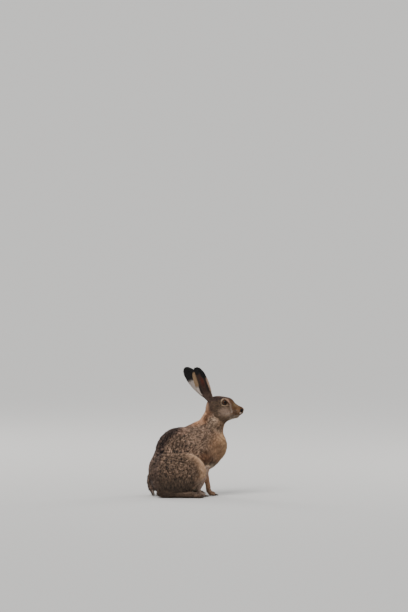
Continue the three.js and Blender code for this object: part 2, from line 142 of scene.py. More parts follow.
def mesh_from(bm, name):
    """Makes a mesh of a finished bmesh and frees the bmesh."""
    mesh = bpy.data.meshes.new(name)
    bm.to_mesh(mesh)
    bm.free()
    return mesh


def new_finish(name, **values):
    """A material with these values on its shader; returns it with its node tree and shader."""
    finish = bpy.data.materials.new(name)
    finish.use_nodes = True
    shader = set_sockets(finish.node_tree.nodes["Principled BSDF"], **values)
    return finish, finish.node_tree, shader


floor_bm = bmesh.new()
bmesh.ops.create_circle(floor_bm, cap_ends=True, segments=96, radius=FLOOR_RADIUS)
floor = add_object("floor", mesh_from(floor_bm, "floor"))
floor_paint = new_finish("pale_floor", Base_Color=FLOOR_TINT, Roughness=1.0, Specular_IOR_Level=0.0)[0]
floor.data.materials.append(floor_paint)
print("floor reaches", FLOOR_RADIUS, "m each way")

# %% Lamps
LAMPS_AIM = Vector((0, 0, 0.2))  # about the middle of the hare


def add_lamp(name, kind, place, power, tint):
    data = bpy.data.lights.new(name, kind)
    data.energy = power
    data.color = tint
    lamp = add_object(name, data)
    lamp.location = place
    lamp.rotation_euler = (LAMPS_AIM - Vector(place)).to_track_quat("-Z", "Y").to_euler()
    return data


SUN_PLACE = Vector((-0.9, -1.7, 2.5))
sun_height = (SUN_PLACE - LAMPS_AIM).normalized().z
sun_power = math.pi * AIR * (1 / FLOOR_SHADE - 1) / sun_height
add_lamp("sun", "SUN", SUN_PLACE, sun_power, (1.0, 0.98, 0.95)).angle = math.radians(28)
add_lamp("back_rim", "AREA", (-1.4, 1.9, 1.7), 22.0, (1.0, 0.97, 0.94)).size = 1.0
add_lamp("breast_rim", "AREA", (1.9, 1.2, 1.2), 14.0, (1.0, 0.97, 0.94)).size = 0.8

# %% [markdown]
# ## Skin
#
# A real hare has one hide from nose to tail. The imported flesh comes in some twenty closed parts
# with hair-wide gaps between them. Welding their edges by hand would be slow, so copies of the
# parts are swollen until they touch and a voxel remesh takes the outside of the lot as one closed
# surface. The facets of the solids are then melted away by moving every point to the middle of
# its neighbours, over and over, many times on the trunk and only a few times on face, ears and
# feet, where small forms would be lost.

# %% Parts of flesh
PAIRED = ["ear", "thigh", "shank", "upper_arm", "forearm", "fore_paw", "hind_foot"]
FLESH = ["head", "lower_jaw", "nose", "neck", "torso", "tail"]
FLESH += [side + "_" + part for side in SIDES for part in PAIRED]
SWELL = 0.00022  # closes the gap between two parts
SAME_POINT = 2e-6
VOXEL = 0.0011


def merged_copy(name, swell):
    """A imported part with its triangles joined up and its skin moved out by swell."""
    bm = bmesh.new()
    bm.from_mesh(nodes[name].data)
    bmesh.ops.remove_doubles(bm, verts=bm.verts, dist=SAME_POINT)
    bm.normal_update()
    for vert in bm.verts:
        vert.co += vert.normal * swell
    return bm


flesh_bm = bmesh.new()
flesh_points, flesh_faces, flesh_part = [], [], []
for index, name in enumerate(FLESH):
    part_mesh = mesh_from(merged_copy(name, SWELL), "part")
    flesh_bm.from_mesh(part_mesh)
    start = len(flesh_points)
    flesh_points += [v.co.copy() for v in part_mesh.vertices]
    flesh_faces += [[start + i for i in f.vertices] for f in part_mesh.polygons]
    flesh_part += [index] * len(part_mesh.polygons)
    bpy.data.meshes.remove(part_mesh)
flesh_tree = BVHTree.FromPolygons(flesh_points, flesh_faces)
print("flesh:", len(FLESH), "parts,", len(flesh_faces), "faces")

# %% One closed surface
skin = add_object("hare_skin", mesh_from(flesh_bm, "hare_skin"))


def apply_modifiers(piece):
    piece_now = piece.evaluated_get(bpy.context.evaluated_depsgraph_get())
    made = bpy.data.meshes.new_from_object(piece_now)
    old = piece.data
    piece.modifiers.clear()
    piece.data = made
    bpy.data.meshes.remove(old)
    made.name = piece.name


remesh = skin.modifiers.new("one_hide", "REMESH")
remesh.mode = "VOXEL"
remesh.voxel_size = VOXEL
apply_modifiers(skin)
print("voxel skin:", len(skin.data.vertices), "points")


# %% Helpers that read and write a mesh as arrays
def read_rows(items, what, width, kind=np.float32):
    """An array with a row of width numbers for each item of a mesh."""
    flat = np.empty(len(items) * width, kind)
    items.foreach_get(what, flat)
    return flat.reshape(-1, width)


def get_points(mesh):
    return read_rows(mesh.vertices, "co", 3).astype(float)


def set_points(mesh, points):
    mesh.vertices.foreach_set("co", points.astype(np.float32).ravel())
    mesh.update()


def get_normals(mesh):
    return read_rows(mesh.vertex_normals, "vector", 3).astype(float)


def get_edges(mesh):
    return read_rows(mesh.edges, "vertices", 2, np.int32)


print("skin has", len(get_edges(skin.data)), "edges")


# %% Helpers for directions and for values spread over the skin
def unit(vectors):
    return vectors / np.maximum(np.linalg.norm(vectors, axis=-1, keepdims=True), 1e-9)


def spread(values, edges, rounds, share=0.5):
    """Moves each point's value towards the mean of its neighbours' values, again and again."""
    values = values.reshape(len(values), -1).astype(float)
    ends = np.concatenate([edges[:, 0], edges[:, 1]])
    others = np.concatenate([edges[:, 1], edges[:, 0]])
    count = np.maximum(np.bincount(ends, minlength=len(values)), 1)
    for _ in range(rounds):
        for k in range(values.shape[1]):
            total = np.bincount(ends, values[others, k], minlength=len(values))
            step = (total / count - values[:, k]) * share
            values[:, k] += step
    return values


def ramp(x, low, high):
    """0 at low, 1 at high and soft between them; low may be the larger of the two."""
    t = np.clip((x - low) / (high - low), 0.0, 1.0)
    return t * t * (3.0 - 2.0 * t)


def nearest_part(points):
    """For each point, which part of the flesh lies nearest, as its place in FLESH."""
    found = np.zeros(len(points), int)
    for i, p in enumerate(points):
        found[i] = flesh_part[flesh_tree.find_nearest(p)[2]]
    return found


print("half way up a ramp:", ramp(0.5, 0.0, 1.0))

# %% Smooth the facets away
ROUNDS_ALL = 3  # for every point
ROUNDS_BROAD, BROAD_PASSES = 14, 3  # for trunk, thighs and the back of the head, on top
points = get_points(skin.data)
edges = get_edges(skin.data)
part_of = nearest_part(points)
TRUNK = [FLESH.index(n) for n in ("neck", "torso")]
TRUNK += [FLESH.index(s + "_" + p) for s in SIDES for p in ("thigh", "shank", "upper_arm")]
on_trunk = spread(np.isin(part_of, TRUNK).astype(float), edges, 10)[:, 0]
head_back = np.isin(part_of, [FLESH.index("head")]) * ramp(points[:, 0], 0.078, 0.060)
broad = np.clip(on_trunk + head_back, 0, 1)
points = spread(points, edges, ROUNDS_ALL)
for _ in range(BROAD_PASSES):
    smoother = spread(points, edges, ROUNDS_BROAD)
    points += (smoother - points) * broad[:, None]
set_points(skin.data, points)
print("smoothed; broad share", round(float(broad.mean()), 2))

# %% [markdown]
# ## Mouth line, cleft and nostrils
#
# Swelling the parts closed the line of the mouth and the cleft under the nose. Both come back as
# creases: points that lie about as near to the upper lip as to the lower jaw are pushed in, and
# each nostril is pushed in as a small soft hollow. A line could also be cut with a Boolean, but
# that leaves a hard edge where lips are soft.


# %% Creases of the mouth and nose
MOUTH_CORNER = 0.1175
LIP_WIDTH, LIP_DEPTH = 0.0010, 0.0014
CLEFT_WIDTH, CLEFT_DEPTH = 0.0009, 0.0019
NOSTRIL = {side: np.array((0.1430, 0.0048 * SIDES[side], 0.2684)) for side in SIDES}
NOSTRIL_SIZE, NOSTRIL_DEPTH = np.array((0.0034, 0.0031, 0.0040)), 0.0024


def tree_of(name):
    bm = merged_copy(name, 0.0)
    found = BVHTree.FromBMesh(bm)
    bm.free()
    return found


upper_tree = tree_of("head")
jaw_tree = tree_of("lower_jaw")


def lip_line(p, width):
    """1 at points that lie on both the head and the lower jaw, and 0 a few widths away."""
    line = np.zeros(len(p))
    for i in np.flatnonzero((p[:, 0] > 0.110) & (p[:, 2] > 0.235) & (p[:, 2] < 0.268)):
        reach = max(upper_tree.find_nearest(p[i])[3], jaw_tree.find_nearest(p[i])[3])
        line[i] = math.exp(-((reach / width) ** 2))
    return line * ramp(p[:, 0], MOUTH_CORNER - 0.004, MOUTH_CORNER + 0.004)


mouth = lip_line(points, LIP_WIDTH)
cleft = np.exp(-((points[:, 1] / CLEFT_WIDTH) ** 2))
cleft *= ramp(points[:, 0], 0.1385, 0.1425) * ramp(points[:, 2], 0.2665, 0.2635)
cleft *= ramp(points[:, 2], 0.248, 0.251)
nostril = np.zeros(len(points))
for middle in NOSTRIL.values():
    off = (points - middle) / NOSTRIL_SIZE
    nostril = np.maximum(nostril, np.exp(-np.sum(off**2, axis=1)))
skin.data.update()
push = mouth * LIP_DEPTH + cleft * CLEFT_DEPTH + nostril * NOSTRIL_DEPTH
points -= get_normals(skin.data) * push[:, None]
set_points(skin.data, points)
print("mouth points:", int((mouth > 0.3).sum()), "cleft points:", int((cleft > 0.3).sum()))

# %% [markdown]
# ## Fewer faces where the form is broad
#
# A millimetre grid is right for lids and lips and wasteful on the flank. The Decimate modifier
# takes faces away where a vertex group says so, so the trunk becomes coarser and the face stays.

# %% Thin the mesh out
SKIN_FACES = 185000
THIN_LEAST, THIN_MORE = 0.10, 0.60  # weight on the face, and what the trunk has on top
THIN_LEVELS = 10
thin_group = skin.vertex_groups.new(name="thin_out")
for level in range(THIN_LEVELS + 1):
    chosen = np.flatnonzero(np.round(broad * THIN_LEVELS) == level)
    thin_group.add(chosen.tolist(), THIN_LEAST + THIN_MORE * level / THIN_LEVELS, "REPLACE")
thin = skin.modifiers.new("fewer_faces", "DECIMATE")
thin.ratio = SKIN_FACES / (2 * len(skin.data.polygons))
thin.vertex_group = "thin_out"
thin.vertex_group_factor = 1.0
apply_modifiers(skin)
skin.modifiers.new("triangles", "TRIANGULATE")
apply_modifiers(skin)
skin.data.shade_smooth()
print("skin:", len(skin.data.vertices), "points,", len(skin.data.polygons), "faces")

# %% [markdown]
# ## Fold behind the haunch
#
# Where thigh and rump meet, the solids leave a sharp valley that a real hare's coat hides. Filling
# it by hand with more flesh would be guesswork. Smoothing only the faces that look sideways there
# fills it, and leaves the outline of back and rump as it is. The number of rounds follows from the
# length of the edges, so the valley fills to the same width on a coarse or a fine mesh.

# %% Fill the fold behind the haunch
FOLD_REACH = 0.010
MOST_ROUNDS = 120
points = get_points(skin.data)
edges = get_edges(skin.data)
rear_fold = ramp(points[:, 0], -0.02, -0.07) * ramp(points[:, 2], 0.05, 0.08)
rear_fold *= ramp(points[:, 2], 0.19, 0.165) * ramp(np.abs(get_normals(skin.data)[:, 1]), 0.6, 0.92)
in_fold = rear_fold[edges[:, 0]] > 0.5
edge_long = np.linalg.norm(points[edges[in_fold, 0]] - points[edges[in_fold, 1]], axis=1).mean()
fold_rounds = int(4 * (FOLD_REACH / edge_long) ** 2)
filled = spread(points, edges, min(fold_rounds, MOST_ROUNDS))
points += (filled - points) * rear_fold[:, None]
set_points(skin.data, points)
print("edges there", round(edge_long * 1000, 1), "mm long,", fold_rounds, "rounds")

# %% [markdown]
# ## What grows where
#
# Each part of the hare has its own coat: how deep it is, how long, wide and raised its tufts are,
# and how many grow on a square millimetre. The numbers are given part by part and then spread a
# little over the skin, so that no coat ends at a line.

# %% The coat of each part: depth, length and width in mm, lift in degrees, tufts per mm2
COATS = {
    "head": (1.5, 5.2, 0.85, 20, 1.55),
    "lower_jaw": (0.9, 3.6, 0.7, 18, 1.9),
    "nose": (0.15, 1.1, 0.4, 13, 2.2),
    "neck": (2.8, 12.0, 1.15, 22, 1.0),
    "torso": (2.7, 13.0, 1.3, 23, 0.84),
    "tail": (2.0, 12.0, 1.3, 26, 0.9),
    "ear": (0.2, 3.4, 0.6, 14, 1.25),
    "thigh": (2.6, 12.0, 1.3, 22, 0.74),
    "shank": (2.2, 9.5, 1.2, 20, 0.78),
    "upper_arm": (2.5, 11.5, 1.3, 21, 0.80),
    "forearm": (1.7, 6.5, 1.0, 18, 1.0),
    "fore_paw": (1.1, 4.4, 0.9, 18, 1.2),
    "hind_foot": (1.4, 7.8, 1.1, 20, 0.95),
}
COAT_ROUNDS = 14  # how far one part's coat runs into the next
SHORTER_ON_SNOUT = np.array([0.85, 2.3, 0.28, 0, -0.9])
LONGER_ON_NAPE = np.array([0.9, 3.0, 0.35, 0, -0.5])
points = get_points(skin.data)
edges = get_edges(skin.data)
part_of = nearest_part(points)
kind_of = np.array([n.split("_", 1)[1] if n.split("_")[0] in SIDES else n for n in FLESH])
kinds = kind_of[part_of]
table = np.array([COATS[k] for k in kinds], float)
snout = ramp(points[:, 0], 0.100, 0.128) * (kinds == "head")
table -= snout[:, None] * SHORTER_ON_SNOUT
nape = ramp(points[:, 0], 0.085, 0.055) * (kinds == "head")
table += nape[:, None] * LONGER_ON_NAPE
table = spread(table, edges, COAT_ROUNDS)
print("coat depth from", table[:, 0].min().round(2), "to", table[:, 0].max().round(2), "mm")

# %% Draw the skin in by the depth of the coat
LID_REACH = (0.016, 0.0115)  # from the eye's middle; between these the hide comes up to the lids
normals = get_normals(skin.data)
EYES = {side: (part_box(side + "_eye")[0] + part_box(side + "_eye")[1]) / 2 for side in SIDES}
from_eye = np.min([np.linalg.norm(points - np.array(c), axis=1) for c in EYES.values()], axis=0)
lid_share = ramp(from_eye, *LID_REACH)
inset = table[:, 0] * (1 - lid_share) * MM
even_normals = unit(spread(normals, edges, 4))
points -= even_normals * inset[:, None]
points[:, 2] = np.maximum(points[:, 2], 0.0)
set_points(skin.data, points)
normals = get_normals(skin.data)
print("drawn in by up to", round(float(inset.max() * 1000), 1), "mm")


# %% [markdown]
# ## The lie of the coat
#
# Hair grows back from the nose, over the crown, down the neck and flanks and out along the legs
# and ears. One direction is named for each part, laid on the surface, and then smoothed over the
# skin like heat in a metal plate, so that the flow turns without a seam.


# %% Which way the hair lies
def lie_of_part(name, p):
    """Directions for points p of one part, before smoothing."""
    x, z = p[:, 0] * 1000, p[:, 2] * 1000
    way = np.zeros((len(p), 3))
    if name == "head":
        way[:] = (-1.0, 0, 0.05)
        down = ramp(x, 112, 70) * ramp(z, 292, 262)
        way[:, 2] -= down * 0.75
    elif name in ("lower_jaw", "nose"):
        way[:] = (-1.0, 0, 0.1)
    elif name == "neck":
        way[:] = (-0.62, 0, -0.78)
        way[:, 0] += ramp(x, 40, 90) * 0.45
    elif name == "torso":
        turn = np.radians(22 + 66 * ramp(x, 25, -140) + 18 * ramp(z, 190, 120))
        way[:, 0] = -np.cos(turn)
        way[:, 2] = -np.sin(turn)
        breast = ramp(x, 50, 80)[:, None]
        way = way * (1 - breast) + np.array([-0.12, 0, -1.0]) * breast
        under = (ramp(z, 75, 45) * ramp(x, 30, 10))[:, None]
        way = way * (1 - under) + np.array([-1.0, 0, -0.1]) * under
    elif name == "tail":
        way[:] = (-0.05, 0, -1.0)
    elif name.endswith("thigh"):
        low = ramp(z, 120, 60)
        way[:, 0] = -0.75 + 0.55 * low
        way[:, 2] = -0.65 - 0.3 * low
    elif name.endswith("shank"):
        way[:] = (-0.45, 0, -0.75)
    elif name.endswith("upper_arm"):
        way[:] = (-0.22, 0, -1.0)
    elif name.endswith("forearm"):
        way[:] = (0.08, 0, -1.0)
    elif name.endswith("ear"):
        low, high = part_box(name)
        way[:] = (low.x - high.x, 0.0, high.z - low.z)
    else:
        way[:] = (1.0, 0, -0.25)
    return way


LIE_PASSES, LIE_ROUNDS = 6, 5
lie = np.zeros((len(points), 3))
for index, name in enumerate(FLESH):
    mine = part_of == index
    lie[mine] = unit(lie_of_part(name, points[mine]))
for _ in range(LIE_PASSES):
    lie = spread(lie, edges, LIE_ROUNDS)
    lie = unit(lie - normals * np.sum(lie * normals, axis=1)[:, None])
print("lie of the coat laid on", len(lie), "points")

# %% [markdown]
# ## Markings
#
# A brown hare's hairs are banded, so its back is a fine mix of black and grey-buff, plain orange
# on the nape, warm on the breast, white below, with black ear tips. Painting an image is the
# usual way. Here the markings are written as soft patches at places on the body, in millimetres,
# because then the same function colours the skin and every tuft that grows from it. A few patches
# also paint light and shade: rim light along the back and, in part, on breast, throat and the
# haunch's front edge; light on the crown and through the ears; shade on the lower haunch, the far
# foreleg and inside the nostrils.


# %% Noise that fills space, the same on every run
LATTICE = np.random.RandomState(11).rand(32, 32, 32)


def drift(p, cell, shift=0.0):
    """Smooth noise from 0 to 1 at points p in mm, with lumps about one cell wide."""
    period = len(LATTICE)
    q = p / cell + shift
    base = np.floor(q).astype(int)
    f = q - base
    f = f * f * (3 - 2 * f)
    total = np.zeros(len(p))
    for corner in range(8):
        step = np.array([corner & 1, corner >> 1 & 1, corner >> 2 & 1])
        at = (base + step) % period
        weight = np.prod(np.where(step == 1, f, 1 - f), axis=1)
        total += weight * LATTICE[at[:, 0], at[:, 1], at[:, 2]]
    return total


def linear(colour):
    """A colour as it is seen on a screen, 0 to 255, as the light that it stands for."""
    c = np.array(colour, float) / 255.0
    return np.where(c <= 0.04045, c / 12.92, ((c + 0.055) / 1.055) ** 2.4)


print("noise repeats after", len(LATTICE), "cells; middle grey is", linear((128, 128, 128)).round(3))

# %% Ear coordinates: along, across and inside
EAR_CUP = {"right": (0.3, -1.0, 0.0), "left": (0.15, 1.0, 0.0)}  # the way each cup faces
EAR_HALF_WIDTH = 0.020


def ear_axis(side):
    """Middle of the ear's root and of its tip."""
    cloud = points[part_of == FLESH.index(side + "_ear")]
    order = np.argsort(cloud[:, 2])
    share = max(20, len(cloud) // 40)
    root = cloud[order[:share]].mean(axis=0)
    tip = cloud[order[-share:]].mean(axis=0)
    return root, tip


EAR_AXES = {side: ear_axis(side) for side in SIDES}


def ear_place(side, p, n):
    """Along the ear 0 to 1, across it -1 at the rear edge to 1 at the front, and 1 in the cup."""
    root, tip = EAR_AXES[side]
    way = unit(tip - root)
    along = (p - root) @ way / np.linalg.norm(tip - root)
    cup = unit(np.array(EAR_CUP[side]) - way * (np.array(EAR_CUP[side]) @ way))
    front = np.cross(cup, way)
    front *= np.sign(front[0])
    across = (p - root) @ front / EAR_HALF_WIDTH
    inside = ramp(n @ cup, -0.15, 0.15)
    return along, across, inside


print("ear lengths:", [round(float(np.linalg.norm(t - r)), 3) for r, t in EAR_AXES.values()])


# %% Patches of colour
PALE_HAIR, DARK_HAIR = (165, 134, 112), (31, 25, 22)


class Paint:
    """Pale and dark hair colour and the share of dark hair, laid on in soft patches."""

    def __init__(self, count, pale, dark, share):
        self.pale = np.tile(linear(pale), (count, 1))
        self.dark = np.tile(linear(dark), (count, 1))
        self.share = np.full(count, float(share))

    def lay(self, mask, pale, dark=None, share=0.0):
        m = np.clip(mask, 0, 1)
        dark = [c * 0.62 for c in pale] if dark is None else dark
        self.pale += (linear(pale) - self.pale) * m[:, None]
        self.dark += (linear(dark) - self.dark) * m[:, None]
        self.share += (share - self.share) * m


def patch(x, z, middle, radii, soft=0.35, turn=0.0):
    """1 inside an ellipse seen from the side, falling to 0 at its rim."""
    a = math.radians(turn)
    u = (x - middle[0]) * math.cos(a) + (z - middle[1]) * math.sin(a)
    v = (z - middle[1]) * math.cos(a) - (x - middle[0]) * math.sin(a)
    return ramp(np.hypot(u / radii[0], v / radii[1]), 1 + soft, 1 - soft)


def near_line(x, z, a, b, width):
    """1 on the line from a to b seen from the side, falling to 0 within a few widths."""
    d = np.array([b[0] - a[0], b[1] - a[1]], float)
    t = np.clip(((x - a[0]) * d[0] + (z - a[1]) * d[1]) / (d @ d), 0, 1)
    return np.exp(-(((x - a[0] - t * d[0]) ** 2 + (z - a[1] - t * d[1]) ** 2) / width**2))


def near_path(x, z, path, width):
    return np.max([near_line(x, z, a, b, width) for a, b in zip(path[:-1], path[1:])], axis=0)


print("plain hair is", PALE_HAIR, "with", DARK_HAIR, "in it")


# %% Markings of the trunk
EYE_X = 89.0  # mm, where the eye stands along the body; every place below is named from there
PLACE_SHIFT = EYES["right"].x * 1000 - EYE_X
BACK_STRIPE = [(-52, 213), (-88, 187), (-106, 153), (-119, 114), (-126, 80), (-124, 50)]


def paint_trunk(paint, x, y, z, n):
    """Flank, back, breast and belly; x, y and z are in mm and n is the way the hide faces."""
    wob = drift(np.stack([x, y, z], 1), 16.0, 5.3) * 12 - 6
    paint.lay(ramp(x, 30, -20) * ramp(z, 205, 185), (186, 152, 128), (20, 16, 15), 0.62)
    upper = ramp(n[:, 2] - n[:, 0] * 0.8, 0.72, 1.05) * ramp(x, 30, 0)
    paint.lay(upper * ramp(np.abs(y), 30, 10), (120, 98, 90), (28, 21, 22), 0.60)
    # A paler band along the top of the back: painted rim light from behind.
    paint.lay(patch(x, z, (-30, 212), (50, 14), 0.6, 20), (176, 142, 120), (58, 44, 40), 0.36)
    paint.lay(near_path(x, z, BACK_STRIPE, 9.0), (124, 99, 90), (22, 17, 17), 0.72)
    paint.lay(patch(x, z, (14, 180), (34, 40), 0.5), (184, 152, 128), (58, 46, 39), 0.46)
    paint.lay(patch(x + wob, z, (14, 243), (36, 17), 0.5, 24), (206, 154, 116), (140, 98, 72), 0.22)
    paint.lay(patch(x, z + wob, (76, 148), (32, 46), 0.6, 12), (176, 138, 106), (138, 106, 80), 0.24)
    # The front of the breast is paler: partly its own warm pale fur, partly painted rim light from
    # behind.
    breast = ramp(n[:, 0] + 0.25 * n[:, 2], 0.45, 0.85) * ramp(x, 60, 84)
    paint.lay(breast, (196, 158, 120), (142, 110, 82), 0.22)
    paint.lay(patch(x, z, (30, 122), (20, 18), 0.6, 30), (120, 86, 62), (70, 50, 38), 0.4)
    pale_below = ramp(z + wob * 0.5, 108, 92) * ramp(x, -30, 15)
    paint.lay(pale_below * 0.8, (172, 152, 124), (124, 106, 84), 0.3)
    belly = ramp(-n[:, 2], 0.25, 0.65) * ramp(z, 110, 80) * ramp(x, -112, -84)
    paint.lay(belly, (206, 192, 172), (160, 146, 126), 0.2)
    rear = ramp(-n[:, 0], 0.62, 0.92) * ramp(z, 160, 110)
    paint.lay(rear * 0.85, (168, 140, 124), (80, 62, 56), 0.38)
    paint.lay(ramp(x, -92, -108) * ramp(z, 84, 60), (122, 99, 85), (44, 35, 31), 0.5)


print("dark stripe of the back through", len(BACK_STRIPE), "places")

# %% Markings of the haunch
# The pale front edge of the haunch is partly its own buff fur and partly painted rim light.
HAUNCH_EDGE = [(-40, 143), (-4, 134), (14, 114), (24, 91), (28, 71), (22, 50), (10, 24)]
HAUNCH_STRIPE = [(-2, 112), (11, 92), (13, 74), (6, 50)]


def paint_haunch(paint, x, y, z, n):
    """Thigh and shank, from the speckled top to the pale front edge."""
    wob = drift(np.stack([x, y, z], 1), 14.0, 2.1) * 8 - 4
    inner = ramp(n[:, 1] * np.sign(y), 0.05, -0.35)
    paint.lay(np.ones(len(x)) * 0.9, (180, 147, 122), (20, 16, 15), 0.61)
    paint.lay(near_path(x, z, BACK_STRIPE, 9.0) * 0.8, (124, 99, 90), (22, 17, 17), 0.7)
    # The lower haunch is darker: painted shade under light from above.
    low = ramp(z + wob, 92, 40)
    paint.lay(low * 0.9, (100, 82, 66), (46, 36, 30), 0.46)
    stripe = near_path(x + wob, z, HAUNCH_STRIPE, 7.0) * 0.75
    paint.lay(stripe, (112, 82, 60), (68, 49, 38), 0.4)
    # Pale front edge: partly buff fur, partly painted rim light.
    front = near_path(x + wob * 0.3, z, HAUNCH_EDGE, 13.0) * ramp(x, -50, -10)
    paint.lay(front * 1.15 * ramp(z, 150, 120), (226, 188, 154), (168, 134, 106), 0.22)
    paint.lay(front * ramp(z, 66, 46), (212, 186, 170), (160, 136, 122), 0.22)
    paint.lay(inner, (200, 180, 158), (150, 130, 110), 0.2)
    rear = ramp(x, -104, -126)
    paint.lay(rear * 0.6, (146, 120, 104), (50, 39, 35), 0.48)


print("pale edge of the haunch through", len(HAUNCH_EDGE), "places")


# %% Markings of the neck and head
def paint_neck(paint, x, y, z, n):
    """The plain orange nape and the speckled ruff in front of it."""
    behind = (x - 24) * 0.80 - (z - 262) * 0.35
    paint.lay(ramp(behind, 28, 12) * ramp(behind, -30, 0), (146, 104, 76), (86, 58, 42), 0.32)
    paint.lay(ramp(behind, 15, 3), (212, 166, 132), (156, 112, 86), 0.2)
    front = ramp(behind, 24, 36)
    paint.lay(front, (178, 148, 122), (54, 40, 33), 0.46)
    paint.lay(patch(x, z, (52, 234), (16, 12), 0.7, 30), (212, 180, 152), (46, 35, 30), 0.44)
    paint.lay(patch(x, z, (84, 226), (18, 14), 0.6, 20), (146, 116, 90), (60, 44, 34), 0.42)
    # Hide that faces forwards is paler: partly its own pale fur, partly painted rim light, as on the
    # breast.
    paint.lay(ramp(n[:, 0], 0.70, 0.95), (186, 150, 118), (112, 84, 64), 0.3)


def paint_head(paint, x, y, z, n):
    """Crown, bridge of the nose, cheek and the tan side of the muzzle."""
    side = ramp(np.abs(n[:, 1]), 0.15, 0.5)
    paint.lay(np.ones(len(x)), (146, 118, 94), (46, 36, 30), 0.48)
    paint.lay(patch(x, z, (66, 289), (17, 19), 0.5), (130, 104, 82), (32, 25, 21), 0.56)
    paint.lay(ramp(z, 296, 303) * ramp(x, 106, 96), (116, 88, 78), (28, 20, 21), 0.58)
    # Where the crown faces up it is paler: painted light from above.
    paint.lay(ramp(n[:, 2], 0.92, 1.0) * ramp(x, 100, 84) * 0.7, (160, 126, 104), (60, 46, 40), 0.42)
    bridge = ramp(n[:, 2], 0.25, 0.65) * ramp(x, 96, 106)
    paint.lay(bridge, (104, 80, 72), (44, 33, 34), 0.5)
    paint.lay(patch(x, z, (44, 272), (13, 26), 0.5), (118, 92, 72), (60, 44, 35), 0.4)
    paint.lay(ramp(x, 43, 34), (210, 166, 134), (156, 112, 88), 0.2)
    paint.lay(patch(x, z, (90, 262), (19, 15), 0.6), (178, 152, 132), (104, 84, 70), 0.3)
    paint.lay(patch(x, z, (86, 240), (24, 10), 0.6, 8), (134, 110, 88), (76, 58, 45), 0.4)
    snout = ramp(x + 0.2 * (z - 275), 101, 117) * side
    paint.lay(snout, (130, 93, 60), (68, 46, 30), 0.42)
    tan = patch(x, z, (126, 284), (11, 6), 0.6, -26) * side
    paint.lay(tan * 0.75, (150, 122, 94), (100, 78, 58), 0.36)
    paint.lay(patch(x, z, (119, 286), (4, 3.5), 0.6) * side * 0.6, (160, 138, 98), (112, 94, 66), 0.3)
    paint.lay(patch(x, z, (131, 268), (6, 7), 0.7) * side * 0.8, (160, 120, 84), (110, 78, 54), 0.3)
    paint.lay(patch(x, z, (121, 253), (8, 6), 0.6), (112, 76, 50), (70, 46, 32), 0.34)
    stripe = near_path(x, z, [(106, 290), (108, 278), (111, 265)], 3.0) * side
    paint.lay(stripe * 0.6, (186, 168, 154), (134, 116, 104), 0.2)


EYE_OPENING = (8.2, 8.0)  # mm, half its length and height
RING_AT, RING_WIDTH = 1.34, 0.18  # in openings, from the eye's middle


def paint_eye_ring(paint, x, z, n, eye):
    """Pale hair round the eye: strong above and behind, broken in front by the dark tear corner."""
    side = ramp(np.abs(n[:, 1]), 0.15, 0.5)
    u, v = x - eye[0], z - eye[1]
    away = np.hypot(u / EYE_OPENING[0], v / EYE_OPENING[1])
    turn = np.degrees(np.arctan2(v, u))

    def near_turn(middle, width):
        return np.exp(-((((turn - middle + 180) % 360 - 180) / width) ** 2))

    strength = 0.22 + 0.75 * near_turn(128, 42) + 0.5 * near_turn(70, 30) + 0.62 * near_turn(-105, 42)
    broken = 0.62 + 0.76 * drift(np.stack([x, x * 0, z], 1), 2.6, 6.1)
    ring = np.exp(-(((away - RING_AT) / RING_WIDTH) ** 2)) * np.clip(strength * broken, 0, 1) * side
    paint.lay(ring, (236, 206, 170), (170, 134, 106), 0.15)
    front = near_line(x, z, (eye[0] + 8.5, eye[1] + 8.5), (eye[0] + 15, eye[1] - 3), 2.6) * side
    paint.lay(front * 0.8, (208, 164, 138), (158, 118, 98), 0.14)
    tear = near_line(x, z, (eye[0] + 8.5, eye[1] + 1.5), (eye[0] + 13.5, eye[1] - 5), 2.0) * side
    paint.lay(tear, (44, 28, 22), (24, 16, 13), 0.4)
    below = near_line(x, z, (eye[0] - 6, eye[1] - 13), (eye[0] + 12, eye[1] - 13), 1.6) * side
    paint.lay(below * 0.75, (60, 46, 36), (34, 26, 21), 0.4)
    behind = patch(x, z, (eye[0] - 15.5, eye[1] - 1), (3.4, 2.2), 0.5) * side
    paint.lay(behind, (60, 44, 34), (30, 22, 18), 0.4)
    paint.lay(ramp(away, 1.14, 1.0) * side, (32, 22, 18), (18, 12, 10), 0.5)


def paint_snout(paint, x, y, z, n):
    """Chin, lips, the cleft between them and the nostrils."""
    paint.lay(ramp(z, 257, 250) * ramp(x, 100, 110), (150, 130, 110), (98, 80, 66), 0.3)
    paint.lay(ramp(-n[:, 2], 0.5, 0.8) * ramp(x, 98, 106), (196, 180, 162), (152, 136, 120), 0.2)
    paint.lay(ramp(x, 144, 148), (172, 138, 112), (112, 86, 68), 0.3)
    paint.lay(patch(x, z, (138.6, 259.8), (3.5, 2.2), 0.6), (208, 196, 184), (164, 150, 140), 0.15)
    lip = patch(x, z, (139.5, 254.6), (4.6, 2.2), 0.5) * ramp(np.abs(y), 1.5, 5.0)
    paint.lay(lip * 0.85, (134, 92, 90), (92, 60, 60), 0.3)
    half = np.abs(y)
    faces_front = ramp(n[:, 0], 0.55, 0.90)
    split = np.maximum(
        near_line(half, z, (4.2, 264.5), (0, 260.5), 0.8),
        near_line(half, z, (0, 260.5), (0, 253.5), 0.7),
    )
    paint.lay(split * ramp(x, 138, 141) * faces_front * 0.85, (74, 48, 42), (44, 29, 26), 0.4)
    # The nostril openings are painted near black: painted shade inside the hollows, slit-shaped from
    # the front.
    slit = near_line(half, z, (2.8, 265.0), (6.2, 271.0), 2.1)
    nostril_shade = patch(x, z, (142.4, 268.2), (4.8, 5.4), 0.3, -24) * ramp(half, 0.8, 2.6)
    nostril_shade = np.clip(nostril_shade * 1.6, 0, 1) * (1 - faces_front * (1 - slit))
    paint.lay(nostril_shade, (14, 9, 10), (7, 4, 5), 0.5)


print("opening of the lids", EYE_OPENING[0] * 2, "by", EYE_OPENING[1] * 2, "mm")

